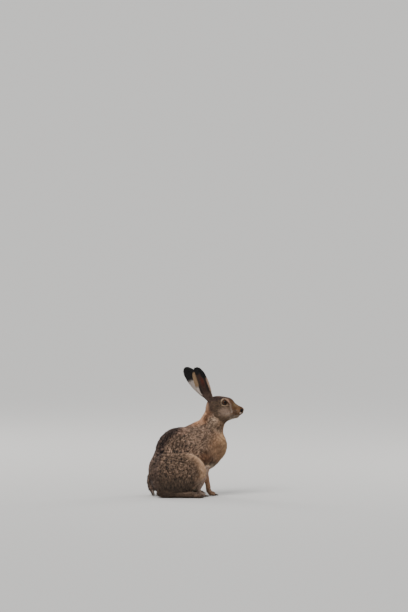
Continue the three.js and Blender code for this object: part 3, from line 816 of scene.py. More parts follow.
# %% Markings of the legs and the tail
def paint_limb(paint, kind, x, y, z, n):
    """Lower legs and feet in one tone each, and the tail with its dark line."""
    if kind in ("forearm", "fore_paw"):
        paint.lay(np.ones(len(x)), (206, 180, 162), (146, 122, 108), 0.28)
        # The far foreleg and paw are darker and warmer: painted shade on the far side.
        far = ramp(y, -5, 5)
        paint.lay(far, (200, 160, 130), (144, 108, 84), 0.3)
        paint.lay(ramp(n[:, 0], 0.3, 0.8) * 0.6, (196, 154, 126), (146, 110, 90), 0.28)
    elif kind == "hind_foot":
        paint.lay(np.ones(len(x)), (150, 124, 104), (88, 70, 58), 0.4)
        paint.lay(ramp(x, -30, -95), (118, 97, 81), (60, 47, 40), 0.46)
        paint.lay(ramp(-n[:, 2], 0.3, 0.7), (116, 92, 72), (80, 62, 48), 0.3)
    elif kind == "tail":
        paint.lay(np.ones(len(x)), (146, 120, 104), (58, 45, 40), 0.46)
        paint.lay(ramp(n[:, 0], 0.1, 0.6), (192, 178, 166), (146, 132, 120), 0.2)
        stripe = ramp(-n[:, 0], 0.35, 0.75) * ramp(np.abs(y), 10, 5)
        paint.lay(stripe, (40, 33, 32), (18, 15, 15), 0.6)


# %% Markings of the ears
WHITE_HAIR = (198, 184, 176)
BLACK_FROM = 0.83  # share of the ear's length where the black tip starts on the rear of the cup


def paint_ear(paint, side, p, n):
    """The back of an ear, the inside of its cup, its edges and its black tip."""
    t, u, cup = ear_place(side, p, n)
    out = 1 - cup
    paint.lay(out, (134, 110, 90), (50, 39, 34), 0.46)
    paint.lay(out * ramp(t, 0.16, 0.04), (112, 88, 72), (36, 28, 25), 0.55)
    paint.lay(out * ramp(-u, -0.3, 0.25) * ramp(t, 0.12, 0.3), WHITE_HAIR, (160, 146, 136), 0.2)
    if side == "left":
        paint.lay(out * ramp(t, 0.26, 0.40) * ramp(-u, -0.6, 0.0), WHITE_HAIR, (166, 154, 146), 0.22)
    # Inside the cup: grey-brown, red in the middle where painted light shines through the thin ear,
    # with dark lines along both edges.
    paint.lay(cup, (84, 62, 51), (36, 25, 21), 0.5)
    paint.lay(cup * ramp(t, 0.36, 0.16), (124, 99, 86), (56, 42, 36), 0.44)
    # Painted light: a red glow where light would shine through the thin ear.
    glow_through = np.exp(-(((t - 0.60) / 0.15) ** 2 + ((u - 0.12) / 0.28) ** 2))
    paint.lay(cup * glow_through * 0.95, (100, 44, 29), (60, 26, 19), 0.35)
    front_line = np.exp(-(((u - 0.56) / 0.13) ** 2)) * ramp(t, 0.16, 0.34)
    paint.lay(cup * front_line, (44, 29, 24), (24, 15, 13), 0.5)
    rear_line = np.exp(-(((u + 0.62 - 0.5 * (0.5 - t)) / 0.13) ** 2))
    rear_line = rear_line * ramp(t, 0.62, 0.50) * ramp(t, 0.14, 0.3)
    paint.lay(cup * rear_line, (40, 30, 26), (22, 16, 14), 0.5)
    # Pale hair along the front edge, tan along the upper rear edge and white along the lower.
    paint.lay(ramp(u, 0.66, 0.84) * ramp(t, 0.88, 0.80), (202, 170, 148), (150, 120, 102), 0.2)
    if side == "right":
        tan = ramp(-u, 0.50, 0.72) * ramp(t, 0.46, 0.56)
        paint.lay(tan * ramp(t, 0.97, 0.92), (176, 146, 112), (120, 94, 70), 0.28)
    paint.lay(ramp(-u, 0.66, 0.86) * ramp(t, 0.56, 0.44), (220, 204, 192), (176, 158, 146), 0.15)
    # Black tip, reaching lower on the back and down the front of the cup.
    start = BLACK_FROM - 0.14 * out - 0.16 * cup * ramp(u, 0.05, 0.45)
    start = start + (drift(p * 1000, 7.0, 3.3) - 0.5) * 0.07
    black = ramp(t, start - 0.04, start + 0.04)
    black *= 1 - cup * ramp(-u, 0.5, 0.7) * ramp(t, 0.97, 0.92)
    paint.lay(black, (20, 16, 17), (7, 5, 6), 0.5)


print("black ear tips from", BLACK_FROM, "of the length, lower on the back")

# %% One function that paints any point of the hide
FACE = ["head", "lower_jaw", "nose"]


def paint_hide(p, n, part):
    """Pale and dark hair colour and the share of dark hair at points p of the hare."""
    x, y, z = p[:, 0] * 1000 - PLACE_SHIFT, p[:, 1] * 1000, p[:, 2] * 1000
    kind = kind_of[part]
    paint = Paint(len(p), PALE_HAIR, DARK_HAIR, 0.5)
    eye_at = (EYE_X, EYES["right"].z * 1000)
    trunk_jobs = {
        "torso": paint_trunk,
        "upper_arm": paint_trunk,
        "thigh": paint_haunch,
        "shank": paint_haunch,
        "neck": paint_neck,
    }
    for name in np.unique(kind):
        at = np.flatnonzero(kind == name)
        own = Paint(len(at), PALE_HAIR, DARK_HAIR, 0.5)
        args = (x[at], y[at], z[at], n[at])
        if name in trunk_jobs:
            trunk_jobs[name](own, *args)
        elif name in FACE:
            paint_head(own, *args)
            paint_eye_ring(own, x[at], z[at], n[at], eye_at)
            paint_snout(own, *args)
        elif name == "ear":
            for side in SIDES:
                mine = part[at] == FLESH.index(side + "_ear")
                sub = Paint(int(mine.sum()), (150, 130, 110), (50, 40, 36), 0.4)
                paint_ear(sub, side, p[at][mine], n[at][mine])
                own.pale[mine], own.dark[mine], own.share[mine] = sub.pale, sub.dark, sub.share
        else:
            paint_limb(own, name, *args)
        paint.pale[at], paint.dark[at], paint.share[at] = own.pale, own.dark, own.share
    return paint


print("kinds of hide:", *np.unique(kind_of))

# %% Speckle: which hairs are dark
SPECK = 2.0  # mm, width of a dark speck on the back
LONG_COAT = ["torso", "thigh", "shank", "neck", "upper_arm"]


def speckle(paint, p, kind, way, jitter):
    """1 where hair is dark; dashes are drawn out along the lie of the coat on neck and haunch."""
    broad_kind = np.isin(kind, LONG_COAT)
    size = np.where(broad_kind, 1.0, np.where(kind == "head", 0.55, 0.42))[:, None]
    on_haunch = np.isin(kind, ["thigh", "shank"])
    drawn = np.where(kind == "neck", 0.5, np.where(on_haunch, 0.35, 0.15))[:, None]
    q = p * 1000
    q = (q - way * np.sum(q * way, axis=1)[:, None] * drawn) / size
    lumps = 0.60 * drift(q, SPECK) + 0.40 * drift(q, SPECK * 0.6, 9.7)
    lumps += (jitter - 0.5) * np.where(broad_kind, 0.28, 0.60)
    edge = 0.5 + (0.5 - paint.share) * 0.40
    soft = np.where(broad_kind, 0.06, 0.15)
    return ramp(lumps, edge - soft, edge + soft) * ramp(paint.share, 0.0, 0.12)


TONE = 0.86  # brightness of all hair


def mixed(paint, dark):
    return TONE * (paint.pale * (1 - dark[:, None]) + paint.dark * dark[:, None])


print("specks", SPECK, "mm wide; long coat on", *LONG_COAT)

# %% Colour the skin
def add_colour(mesh, name, colours):
    layer = mesh.color_attributes.new(name=name, type="FLOAT_COLOR", domain="POINT")
    full = np.ones((len(colours), 4), np.float32)
    full[:, :3] = colours
    layer.data.foreach_set("color", full.ravel())


LIP_PAINTED = 0.0013
LIP_COLOUR = (52, 32, 30)
UNDER_HAIR = 0.72  # the skin lies in the shade of its coat
skin_paint = paint_hide(points, normals, part_of)
skin_dark = speckle(skin_paint, points, kinds, lie, np.full(len(points), 0.5))
even_dark = 0.25 * skin_dark + 0.75 * skin_paint.share
skin_dark = np.where(np.isin(kinds, LONG_COAT), skin_dark, even_dark)
skin_colour = mixed(skin_paint, skin_dark)
crease = lip_line(points, LIP_PAINTED)[:, None]
skin_colour = skin_colour * (1 - crease) + linear(LIP_COLOUR) * crease
add_colour(skin.data, "hide", skin_colour * UNDER_HAIR)
print("mean skin colour", skin_colour.mean(axis=0).round(3))

# %% [markdown]
# ## An unwrap of the skin
#
# The tufts are far too many to unwrap one by one. Instead the skin is unwrapped by its own shape,
# and every tuft gets a tiny patch of the map at the place where its root stands, so a baked
# picture of the coat holds the right colour for each.

# %% Unwrap
bpy.context.view_layer.objects.active = skin
skin.select_set(True)
bpy.ops.object.mode_set(mode="EDIT")
bpy.ops.mesh.select_all(action="SELECT")
bpy.ops.uv.smart_project(angle_limit=math.radians(66), island_margin=0.002)
bpy.ops.object.mode_set(mode="OBJECT")
skin.data.uv_layers[0].name = "OFBake"
skin_uv = read_rows(skin.data.uv_layers["OFBake"].uv, "vector", 2).reshape(-1, 3, 2).astype(float)
skin_tris = read_rows(skin.data.loops, "vertex_index", 1, np.int32).reshape(-1, 3)
print("unwrapped", len(skin_tris), "faces")

# %% [markdown]
# ## Finish of skin and hair
#
# Hair is dull from a step away and shines only along its length, so both finishes are rough with
# a little sheen. The colour comes from the piece's own attribute, and fine noise breaks it up at
# the width of a hair. On the short coat of face and feet the bump does the work of single hairs.


# %% Hair and hide finishes
def add_node(tree, kind, **values):
    return set_sockets(tree.nodes.new(kind), **values)


def wire(tree, *wires):
    """Joins nodes; each wire is a node, its output, the next node and its input."""
    for source, output, target, socket in wires:
        tree.links.new(source.outputs[output], target.inputs[socket])


def hide_finish(name, grain, bump, roughness):
    """Dull hair or hide, coloured by the piece's attribute of the same name."""
    finish, tree, shader = new_finish(name, Roughness=roughness, Specular_IOR_Level=0.2)
    set_sockets(shader, Sheen_Weight=0.04, Sheen_Roughness=0.5)
    colour = tree.nodes.new("ShaderNodeAttribute")
    colour.attribute_name = name
    place = tree.nodes.new("ShaderNodeTexCoord")
    noise = add_node(tree, "ShaderNodeTexNoise", Scale=grain, Detail=3.0)
    tone = add_node(tree, "ShaderNodeMapRange", To_Min=0.72, To_Max=1.28)
    mix = tree.nodes.new("ShaderNodeMix")
    mix.data_type = "RGBA"
    mix.blend_type = "MULTIPLY"
    set_sockets(mix, Factor=1.0)
    wire(
        tree,
        (place, "Object", noise, "Vector"),
        (noise, "Fac", tone, "Value"),
        (colour, "Color", mix, "A"),
        (tone, "Result", mix, "B"),
        (mix, "Result", shader, "Base Color"),
    )
    if bump:
        fine = add_node(tree, "ShaderNodeTexNoise", Scale=1900.0, Detail=2.0)
        raised = add_node(tree, "ShaderNodeBump", Strength=bump, Distance=0.0006)
        wire(
            tree,
            (place, "Object", fine, "Vector"),
            (fine, "Fac", raised, "Height"),
            (raised, "Normal", shader, "Normal"),
        )
    return finish


hide_paint = hide_finish("hide", 700.0, 0.6, 0.72)
hair_paint = hide_finish("hair", 900.0, 0.0, 0.62)
skin.data.materials.append(hide_paint)
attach(skin, "root")
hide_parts(*FLESH)
print("finishes:", hide_paint.name, hair_paint.name)

# %% [markdown]
# ## The coat
#
# Hair particles would be the quick way, but they are lost when the model leaves this program, so
# each tuft is a real closed mesh: a flat three-sided spike, rooted under the skin, that leans
# along the lie of the coat and bends back to it. Arrays build them by the thousand. Neighbours
# lean together where slow noise says so, which gathers them into locks.


# %% Roots of the tufts
def scatter(density, seed):
    """Random roots on the skin's faces; density is tufts per mm2 at each point of the skin."""
    rng = np.random.RandomState(seed)
    a, b, c = (points[skin_tris[:, k]] for k in range(3))
    area = np.linalg.norm(np.cross(b - a, c - a), axis=1) / 2 * 1e6
    wanted = area * density[skin_tris].mean(axis=1)
    total = np.cumsum(wanted)
    draws = (np.arange(int(total[-1])) + rng.rand(int(total[-1]))) * total[-1] / int(total[-1])
    face = np.minimum(np.searchsorted(total, draws), len(skin_tris) - 1)
    r1, r2 = np.sqrt(rng.rand(len(face))), rng.rand(len(face))
    share = np.stack([1 - r1, r1 * (1 - r2), r1 * r2], axis=1)
    return face, share, rng


def at_roots(values, face, share):
    corners = values[skin_tris[face]]
    if corners.ndim == 2:
        return np.sum(corners * share, axis=1)
    return np.sum(corners * share[:, :, None], axis=1)


# %% Tufts as one mesh
MAP_PATCH = 0.003
ROOT_WIDTH = 0.72  # of a long tuft, as a share of its full width
KNEE = 0.42  # how far along its second ring sits
BEND_BACK = 0.56  # how much of its rise it loses again by the tip
RIDGE = 0.34  # height of its section, as a share of its width
ABOVE_FLOOR = 0.0002


def tuft_mesh(name, bends, colours, root, n, way, long, wide, lift, sway, map_at):
    """Closed three-sided spikes of one or two rings; colours has one for each ring and the tip."""
    count = len(root)
    side = np.cross(n, way)
    rings = []
    steps = [0.0, KNEE][:bends]
    widths = [ROOT_WIDTH, 1.0][-bends:]
    sink = np.minimum(0.0006, long * 0.05)
    rise = np.sin(lift)[:, None] * long[:, None]
    ahead = np.cos(lift)[:, None] * long[:, None]

    def spine(s):
        p = root - n * sink[:, None] + way * ahead * s
        p = p + n * rise * (s - BEND_BACK * s * s)
        return p + side * (sway * long * s * s)[:, None]

    for s, w in zip(steps, widths):
        centre = spine(s)
        half = side * (wide * w * 0.5)[:, None]
        ridge = centre + n * (wide * w * RIDGE)[:, None]
        rings.append(np.stack([centre + half, centre - half, ridge], 1))
    tip = spine(1.0)[:, None, :]
    verts = np.concatenate(rings + [tip], axis=1)
    verts[:, :, 2] = np.maximum(verts[:, :, 2], ABOVE_FLOOR)
    per = verts.shape[1]
    faces = [[0, 1, 2]]
    for r in range(len(steps) - 1):
        for k in range(3):
            x0, y0 = 3 * r + k, 3 * r + (k + 1) % 3
            faces += [[x0, y0 + 3, y0], [x0, x0 + 3, y0 + 3]]
    last = 3 * (len(steps) - 1)
    faces += [[last + k, per - 1, last + (k + 1) % 3] for k in range(3)]
    faces = np.array(faces)
    index = (np.arange(count)[:, None, None] * per + faces[None]).reshape(-1, 3)
    mesh = bpy.data.meshes.new(name)
    mesh.vertices.add(count * per)
    mesh.vertices.foreach_set("co", verts.astype(np.float32).ravel())
    mesh.loops.add(index.size)
    mesh.loops.foreach_set("vertex_index", index.astype(np.int32).ravel())
    mesh.polygons.add(len(index))
    mesh.polygons.foreach_set("loop_start", np.arange(0, index.size, 3, dtype=np.int32))
    mesh.update(calc_edges=True)
    mesh.shade_smooth()
    across = [0.0, 1.0, 0.5] * len(steps) + [0.5]
    along = [s for s in steps for _ in range(3)] + [1.0]
    local = (np.stack([across, along], axis=1) - 0.5) * MAP_PATCH
    uv = (map_at[:, None, :] + local[None]).reshape(-1, 2)[index.ravel()]
    layer = mesh.uv_layers.new(name="OFBake")
    layer.uv.foreach_set("vector", np.clip(uv, 0.0, 1.0).astype(np.float32).ravel())
    ring_of = [i for i in range(len(steps)) for _ in range(3)] + [len(steps)]
    add_colour(mesh, "hair", colours[:, ring_of].reshape(-1, 3))
    mesh.materials.append(hair_paint)
    piece = add_object(name, mesh)
    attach(piece, "root")
    return piece


# %% Grow the coat
def grow(density, seed):
    """What the skin says at each root: its normal, coat, part, place on the map and lie."""
    face, share, rng = scatter(density, seed)
    grown = {
        "root": at_roots(points, face, share),
        "n": unit(at_roots(normals, face, share)),
        "coat": at_roots(table, face, share),
        "part": part_of[skin_tris[face, 0]],
        "map": np.sum(skin_uv[face] * share[:, :, None], axis=1),
        "rng": rng,
    }
    way = at_roots(lie, face, share)
    grown["way"] = unit(way - grown["n"] * np.sum(way * grown["n"], axis=1)[:, None])
    return grown


COAT_SEED = 3
main_coat = grow(table[:, 4], COAT_SEED)
hair_root = main_coat["root"]
hair_kind = kind_of[main_coat["part"]]
rng = main_coat["rng"]
jitter = rng.rand(len(hair_root))
print("tufts:", len(hair_root))

# %% Lengths, lean and locks
LID_BARE = 0.0098  # from the eye's middle; no tuft stands nearer
LID_SHORT = (0.0100, 0.0160)  # between these the tufts grow to full length
NOSTRIL_BARE = 0.0030
root_mm = hair_root * 1000
coat = main_coat["coat"]
long = coat[:, 1] * MM * (0.72 + 0.5 * rng.rand(len(coat)))
wide = coat[:, 2] * MM * (0.75 + 0.5 * rng.rand(len(coat)))
lean_noise = drift(root_mm, 8.0, 1.7)
lift = np.radians(coat[:, 3]) * (0.55 + 0.75 * lean_noise + 0.25 * rng.rand(len(coat)))
sway = (drift(root_mm, 7.0, 4.4) - 0.5) * 0.9 + (rng.rand(len(coat)) - 0.5) * 0.35
from_lid = np.min([np.linalg.norm(hair_root - np.array(c), axis=1) for c in EYES.values()], axis=0)
long *= 0.35 + 0.65 * ramp(from_lid, *LID_SHORT)
from_nostril = np.min([np.linalg.norm(hair_root - c, axis=1) for c in NOSTRIL.values()], axis=0)
keep = (from_lid > LID_BARE) & (from_nostril > NOSTRIL_BARE)
print("mean length", round(float(long.mean() * 1000), 1), "mm")


# %% Colour each tuft by the places where its middle and its tip show
MIDDLE, TIP = 0.55, 0.95  # shares of a tuft's length
FACE_GAIN = 1.14  # lifts the face, where short tufts stand close and shade each other
ROOT_SHADE, FACE_ROOT_SHADE = 0.50, 0.80
BLACK_TIPS, BLACK_TIP_SHARE = 0.24, 0.6  # how many tufts have one, and how black it is
TIP_GAIN = 1.08


def hair_colour(share):
    """Colour of the hide at a share of each tuft's length, and the dark hair's colour there."""
    seen = hair_root + main_coat["way"] * (share * long)[:, None]
    paint = paint_hide(seen, main_coat["n"], main_coat["part"])
    dark = speckle(paint, seen, hair_kind, main_coat["way"], jitter)
    return mixed(paint, dark), TONE * paint.dark, dark


body_colour, _, dark_share = hair_colour(MIDDLE)
tip_colour, tip_dark, _ = hair_colour(TIP)
face_hair = np.isin(hair_kind, FACE)
face_gain = np.where(face_hair, FACE_GAIN, 1.0)[:, None]
root_shade = np.where(face_hair, FACE_ROOT_SHADE, ROOT_SHADE) + 0.12 * rng.rand(len(coat))
band_shade = 0.90 + 0.24 * rng.rand(len(coat))
black_tip = (rng.rand(len(coat)) < BLACK_TIPS)[:, None] * BLACK_TIP_SHARE
colours = np.stack(
    [
        body_colour * root_shade[:, None] * face_gain,
        body_colour * band_shade[:, None] * face_gain,
        tip_colour * face_gain * (1 - black_tip) * TIP_GAIN + tip_dark * black_tip,
    ],
    axis=1,
)
print("share of dark tufts", round(float(dark_share.mean()), 2))

# %% [markdown]
# ## Pieces of the coat
#
# One mesh of all the tufts would be too heavy to open or mend, and the tufts of the trunk alone
# would still be. So the coat is sorted into pieces of fewer than 200,000 faces by where a tuft
# stands, and each region can be hidden or mended by itself.


# %% Sort the tufts into pieces
def by_side(name, mine, on_right):
    return {name + "_right": mine & on_right, name + "_left": mine & ~on_right}


SHORT = FACE + ["ear", "fore_paw", "hind_foot"]
BREAST_FROM, RUMP_UP_TO = 0.02, -0.08
FLANK_MIDDLE, FLANK_HALF = 0.03, 0.05
along = hair_root[:, 0]
right = hair_root[:, 1] < 0
right_part = np.char.startswith(np.array(FLESH)[main_coat["part"]], "right_")
trunk_hair = hair_kind == "torso"
flank = trunk_hair & (np.abs(along + FLANK_MIDDLE) <= FLANK_HALF)
pieces_of_coat = {
    **by_side("coat_head", face_hair, right),
    **by_side("coat_ear", hair_kind == "ear", right_part),
    "coat_neck": hair_kind == "neck",
    "coat_breast": trunk_hair & (along > BREAST_FROM),
    **by_side("coat_flank", flank, right),
    **by_side("coat_rump", trunk_hair & (along < RUMP_UP_TO), right),
    **by_side("coat_haunch", np.isin(hair_kind, ["thigh", "shank"]), right_part),
    "coat_arms": np.isin(hair_kind, ["upper_arm", "forearm"]),
    "coat_feet": np.isin(hair_kind, ["fore_paw", "hind_foot"]),
    "coat_tail": hair_kind == "tail",
}
tuft_values = {
    "root": hair_root,
    "n": main_coat["n"],
    "way": main_coat["way"],
    "long": long,
    "wide": wide,
    "lift": lift,
    "sway": sway,
    "map_at": main_coat["map"],
}
for name, mine in pieces_of_coat.items():
    chosen = np.flatnonzero(mine & keep)
    bends = 1 if np.isin(hair_kind[chosen[0]], SHORT) else 2
    tints = colours[chosen] if bends == 2 else colours[chosen][:, [0, 2]]
    piece = tuft_mesh(name, bends, tints, **{key: value[chosen] for key, value in tuft_values.items()})
    print(name, len(chosen), "tufts,", len(piece.data.polygons), "faces")

# %% [markdown]
# ## Eyes
#
# The eye of a hare is a large amber ball with a round dark pupil under a clear, bulging front. A
# clear shell over a painted disc would be true to life, but glass is slow and loses its look when
# the model leaves this program. So the ball bulges at the front, carries the rings of its iris as
# colours round the way it looks, and a clear coat on the finish gives the wet shine.

# %% Wet eye
IRIS_RINGS = [
    (0.0, (5, 4, 5)),
    (0.42, (6, 5, 5)),
    (0.47, (34, 19, 10)),
    (0.58, (84, 49, 23)),
    (0.70, (98, 60, 30)),
    (0.82, (56, 32, 17)),
    (0.92, (22, 13, 10)),
    (1.0, (12, 8, 7)),
]


def colour_band(tree, stops):
    """A ramp of colours; each stop is its place from 0 to 1 and its colour."""
    band = tree.nodes.new("ShaderNodeValToRGB")
    line = band.color_ramp
    while len(line.elements) < len(stops):
        line.elements.new(0.5)
    for element, (at, colour) in zip(line.elements, stops):
        element.position = at
        element.color = (*linear(colour), 1.0)
    return band


def eye_finish():
    """Rings of the iris with fine spokes in them, under a clear wet coat."""
    finish, tree, shader = new_finish("wet_eye", Roughness=0.3, Specular_IOR_Level=0.05)
    set_sockets(shader, Coat_Weight=0.22, Coat_Roughness=0.03)
    ring = tree.nodes.new("ShaderNodeAttribute")
    ring.attribute_name = "off_axis"
    place = tree.nodes.new("ShaderNodeAttribute")
    place.attribute_name = "spoke"
    streaks = add_node(tree, "ShaderNodeTexNoise", Scale=9.0, Detail=4.0)
    wobble = tree.nodes.new("ShaderNodeMath")
    wobble.operation = "MULTIPLY_ADD"
    wobble.inputs[1].default_value = 0.10
    wobble.inputs[2].default_value = -0.05
    add = tree.nodes.new("ShaderNodeMath")
    rings = colour_band(tree, IRIS_RINGS)
    wire(
        tree,
        (place, "Vector", streaks, "Vector"),
        (streaks, "Fac", wobble, 0),
        (ring, "Fac", add, 0),
        (wobble, "Value", add, 1),
        (add, "Value", rings, "Fac"),
        (rings, "Color", shader, "Base Color"),
    )
    return finish


wet_eye = eye_finish()
print("iris of", len(IRIS_RINGS), "rings")

# %% Eyeballs
EYE_RADIUS = 0.009
LOOK = (0.26, 0.95, 0.14)  # ahead, outwards and up
BULGE = 0.0007
BULGE_RIM, BULGE_FULL = math.radians(46), math.radians(8)
IRIS_RIM = math.radians(62)
SPOKE_ROUND, SPOKE_OUT = 1.6, 0.35  # how fast the streaks change round the iris and outwards


def eye_axes(side):
    look = Vector((LOOK[0], LOOK[1] * SIDES[side], LOOK[2])).normalized()
    across = Vector((0, 0, 1)).cross(look).normalized()
    return look, across, look.cross(across)


for side in SIDES:
    ball_bm = bmesh.new()
    bmesh.ops.create_uvsphere(ball_bm, u_segments=64, v_segments=40, radius=EYE_RADIUS)
    turn = Vector((0, 0, 1)).rotation_difference(eye_axes(side)[0]).to_matrix().to_4x4()
    angles, spokes = [], []
    for vert in ball_bm.verts:
        way = vert.co.normalized()
        angle = math.acos(max(-1.0, min(1.0, way.z)))
        swell = BULGE * float(ramp(np.array(angle), BULGE_RIM, BULGE_FULL))
        vert.co = way * (EYE_RADIUS + swell)
        angles.append(angle / IRIS_RIM)
        flat = Vector((way.x, way.y, 0))
        flat = flat.normalized() if flat.length > 1e-6 else Vector((1, 0, 0))
        spokes.append((flat.x * SPOKE_ROUND, flat.y * SPOKE_ROUND, angle * SPOKE_OUT))
    bmesh.ops.transform(ball_bm, matrix=turn, verts=ball_bm.verts)
    bmesh.ops.translate(ball_bm, vec=EYES[side], verts=ball_bm.verts)
    ball_mesh = mesh_from(ball_bm, side + "_eyeball")
    ball_mesh.attributes.new("off_axis", "FLOAT", "POINT").data.foreach_set("value", angles)
    spoke_layer = ball_mesh.attributes.new("spoke", "FLOAT_VECTOR", "POINT")
    spoke_layer.data.foreach_set("vector", np.array(spokes, np.float32).ravel())
    ball_mesh.materials.append(wet_eye)
    ball_mesh.shade_smooth()
    ball = add_object(side + "_eyeball", ball_mesh)
    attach(ball, "root")
    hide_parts(side + "_eye")
    print(side, "eye at", [round(v * 1000, 1) for v in EYES[side]])

# %% [markdown]
# ## Eyelids
#
# The lids are a soft rolled rim round an almond opening, bare and dark at the edge that wipes the
# eye and furred outside. The rim is made as a ring of edges on the eyeball, extruded outwards
# step by step over the ball, and closed below.

# %% Lid rims
LID_LONG, LID_HIGH, LID_SLANT = 0.0152, 0.0138, math.radians(10)
LID_FULLNESS = 0.22  # how much the opening is flattened towards an almond
# Each step out over the ball: its distance from the eye's middle in mm, its share of the opening's
# size, and its colour.
LID_STEPS = [
    (9.0, 0.89, (10, 7, 7)),
    (9.75, 0.92, (18, 12, 11)),
    (10.25, 0.98, (26, 18, 15)),
    (10.55, 1.06, (44, 32, 26)),
    (10.45, 1.18, (110, 84, 64)),
    (9.8, 1.24, (150, 118, 92)),
]
LID_POINTS = 56
lid_paint = hide_finish("lid", 1500.0, 0.4, 0.45)


def lid_point(side, j, radius, share):
    """Point j of the ring that runs round the opening of the lids at this radius."""
    look, across, up = eye_axes(side)
    a = j / LID_POINTS * math.tau
    u = math.cos(a) * LID_LONG / 2 * share
    v = math.sin(a) * (1 - LID_FULLNESS * math.cos(a) ** 2) * LID_HIGH / 2 * share
    tilt = LID_SLANT * SIDES[side]
    c = u * math.cos(tilt) - v * math.sin(tilt)
    s = u * math.sin(tilt) + v * math.cos(tilt)
    ahead = math.sqrt(max(radius**2 - c * c - s * s, 1e-8))
    return EYES[side] + look * ahead + across * c + up * s


for side in SIDES:
    lid_bm = bmesh.new()
    radius, share, tint = LID_STEPS[0]
    loop = [lid_bm.verts.new(lid_point(side, j, radius * MM, share)) for j in range(LID_POINTS)]
    ends = [(loop[j], loop[(j + 1) % LID_POINTS]) for j in range(LID_POINTS)]
    ring_edges = [lid_bm.edges.new(pair) for pair in ends]
    first_edges = ring_edges
    tints = [tint] * LID_POINTS
    for radius, share, tint in LID_STEPS[1:]:
        made = bmesh.ops.extrude_edge_only(lid_bm, edges=ring_edges)["geom"]
        new_verts = [g for g in made if isinstance(g, bmesh.types.BMVert)]
        new_edges = [g for g in made if isinstance(g, bmesh.types.BMEdge)]
        ring_edges = [e for e in new_edges if all(v in new_verts for v in e.verts)]
        for j, vert in enumerate(new_verts):
            vert.co = lid_point(side, j, radius * MM, share)
        tints += [tint] * LID_POINTS
    bmesh.ops.bridge_loops(lid_bm, edges=first_edges + ring_edges)
    bmesh.ops.recalc_face_normals(lid_bm, faces=lid_bm.faces)
    lid_mesh = mesh_from(lid_bm, side + "_lids")
    add_colour(lid_mesh, "lid", np.array([linear(t) for t in tints]))
    lid_mesh.materials.append(lid_paint)
    lid_mesh.shade_smooth()
    lids = add_object(side + "_lids", lid_mesh)
    round_off = lids.modifiers.new("round_off", "SUBSURF")
    round_off.levels = 1
    round_off.render_levels = 1
    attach(lids, "root")
    print(side, "lids:", len(lid_mesh.polygons), "faces")

# %% [markdown]
# ## Whiskers
#
# Some twenty stiff hairs stand in rows on each cheek of the muzzle and a few above each eye. They
# could be curves with a round bevel, but a whisker tapers to nothing, so each is a long thin cone,
# cut across into short lengths so that it can bend, and rooted in the skin under the coat.

# %% Whisker finish and one whisker
WHISKER_TONES = [(0.40, (38, 30, 27)), (0.55, (196, 184, 170))]
WHISKER_ROOT, WHISKER_TIP = 0.00017, 0.00003
WHISKER_DEEP = 0.001  # how far its root goes below the skin
WHISKER_CUTS = 7
SAG_WAY = Vector((-0.35, 0, -1))
whisker_paint, whisker_tree, whisker_shader = new_finish("whisker", Roughness=0.35)
whisker_place = whisker_tree.nodes.new("ShaderNodeTexCoord")
whisker_noise = add_node(whisker_tree, "ShaderNodeTexNoise", Scale=60.0)
whisker_tones = colour_band(whisker_tree, WHISKER_TONES)
wire(
    whisker_tree,
    (whisker_place, "Object", whisker_noise, "Vector"),
    (whisker_noise, "Fac", whisker_tones, "Fac"),
    (whisker_tones, "Color", whisker_shader, "Base Color"),
)
skin_tree = BVHTree.FromPolygons(points.tolist(), skin_tris.tolist())


def add_whisker(whiskers_bm, near, way, length, droop):
    """A tapering hair from the skin nearest to the point near, bending down by droop."""
    root = skin_tree.find_nearest(near)[0]
    way = Vector(way).normalized()
    hair_bm = bmesh.new()
    bmesh.ops.create_cone(
        hair_bm,
        cap_ends=True,
        cap_tris=True,
        segments=5,
        radius1=WHISKER_ROOT,
        radius2=WHISKER_TIP,
        depth=length,
    )
    bmesh.ops.translate(hair_bm, vec=(0, 0, length / 2 - WHISKER_DEEP), verts=hair_bm.verts)
    for cut in range(1, WHISKER_CUTS):
        geom = list(hair_bm.verts) + list(hair_bm.edges) + list(hair_bm.faces)
        at = (0, 0, length * cut / WHISKER_CUTS - WHISKER_DEEP)
        bmesh.ops.bisect_plane(hair_bm, geom=geom, plane_co=at, plane_no=(0, 0, 1))
    turn = Vector((0, 0, 1)).rotation_difference(way)
    for vert in hair_bm.verts:
        share = max(vert.co.z, 0.0) / length
        vert.co = root + turn @ vert.co + SAG_WAY * (droop * length * share**2)
    hair_mesh = mesh_from(hair_bm, "one_whisker")
    whiskers_bm.from_mesh(hair_mesh)
    bpy.data.meshes.remove(hair_mesh)


print("whiskers are", WHISKER_ROOT * 2000, "mm thick at the root")

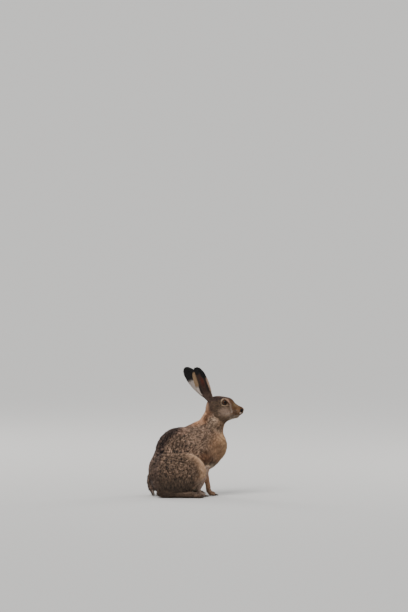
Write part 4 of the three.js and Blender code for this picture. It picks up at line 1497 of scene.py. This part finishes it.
# %% Set the whiskers in rows
# Each row: its height, its rear and front end in mm, and how many whiskers stand in it.
WHISKER_ROWS = [(270.5, 127, 136, 5), (267.0, 125, 137, 6), (263.5, 124, 136, 6), (260.5, 124, 133, 4)]
BROW_HAIRS = (84, 88, 93)
BROW_HEIGHT = 308
BESIDE = 20  # mm out from the middle, where the nearest skin is looked for
whisker_rng = np.random.RandomState(21)
whiskers_bm = bmesh.new()
for side, sign in SIDES.items():
    for row, (z_row, x_low, x_high, count) in enumerate(WHISKER_ROWS):
        for x_place in np.linspace(x_low, x_high, count):
            near = Vector((x_place + PLACE_SHIFT, BESIDE * sign, z_row)) * MM
            back = (x_high - x_place) / (x_high - x_low)
            spin = whisker_rng.uniform(-0.12, 0.12, 3)
            way = (-0.42 - 0.35 * back + spin[0], sign * (0.85 + spin[1]), 0.24 - 0.16 * row + spin[2])
            length = (0.026 + 0.026 * back) * whisker_rng.uniform(0.85, 1.15)
            add_whisker(whiskers_bm, near, way, length, 0.16)
    for x_place in BROW_HAIRS:
        near = Vector((x_place + PLACE_SHIFT, BESIDE * sign, BROW_HEIGHT)) * MM
        way = (-0.55, sign * 0.45, 0.72 + 0.1 * whisker_rng.rand())
        add_whisker(whiskers_bm, near, way, 0.024, 0.2)
whiskers_mesh = mesh_from(whiskers_bm, "whiskers")
whiskers_mesh.materials.append(whisker_paint)
whiskers_mesh.shade_smooth()
whiskers = add_object("whiskers", whiskers_mesh)
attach(whiskers, "root")
print("whiskers:", len(whiskers_mesh.polygons), "faces")

# %% [markdown]
# ## Claws
#
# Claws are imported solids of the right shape, so they stay. Painting them one flat brown would make
# them look like plastic, so horn gets two near browns and a shallow bump in faint rings of growth.

# %% Horn
HORN_TONES = [(0.0, (48, 38, 32)), (1.0, (62, 50, 42))]
horn, horn_tree, horn_shader = new_finish("horn", Roughness=0.38)
horn_place = horn_tree.nodes.new("ShaderNodeTexCoord")
horn_rings = add_node(horn_tree, "ShaderNodeTexWave", Scale=420.0, Distortion=2.5, Detail=2.0)
horn_rings.bands_direction = "X"
horn_tones = colour_band(horn_tree, HORN_TONES)
horn_bump = add_node(horn_tree, "ShaderNodeBump", Strength=0.05, Distance=0.0003)
wire(
    horn_tree,
    (horn_place, "Object", horn_rings, "Vector"),
    (horn_rings, "Fac", horn_tones, "Fac"),
    (horn_rings, "Fac", horn_bump, "Height"),
    (horn_tones, "Color", horn_shader, "Base Color"),
    (horn_bump, "Normal", horn_shader, "Normal"),
)
for name, claw in nodes.items():
    if "claw" in name:
        claw.data.materials.clear()
        claw.data.materials.append(horn)
print("claws finished")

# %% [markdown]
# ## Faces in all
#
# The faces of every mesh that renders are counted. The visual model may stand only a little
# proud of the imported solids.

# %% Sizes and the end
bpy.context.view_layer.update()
faces = sum(len(o.data.polygons) for o in bpy.data.objects if o.type == "MESH" and not o.hide_render)
print("faces in all:", faces)
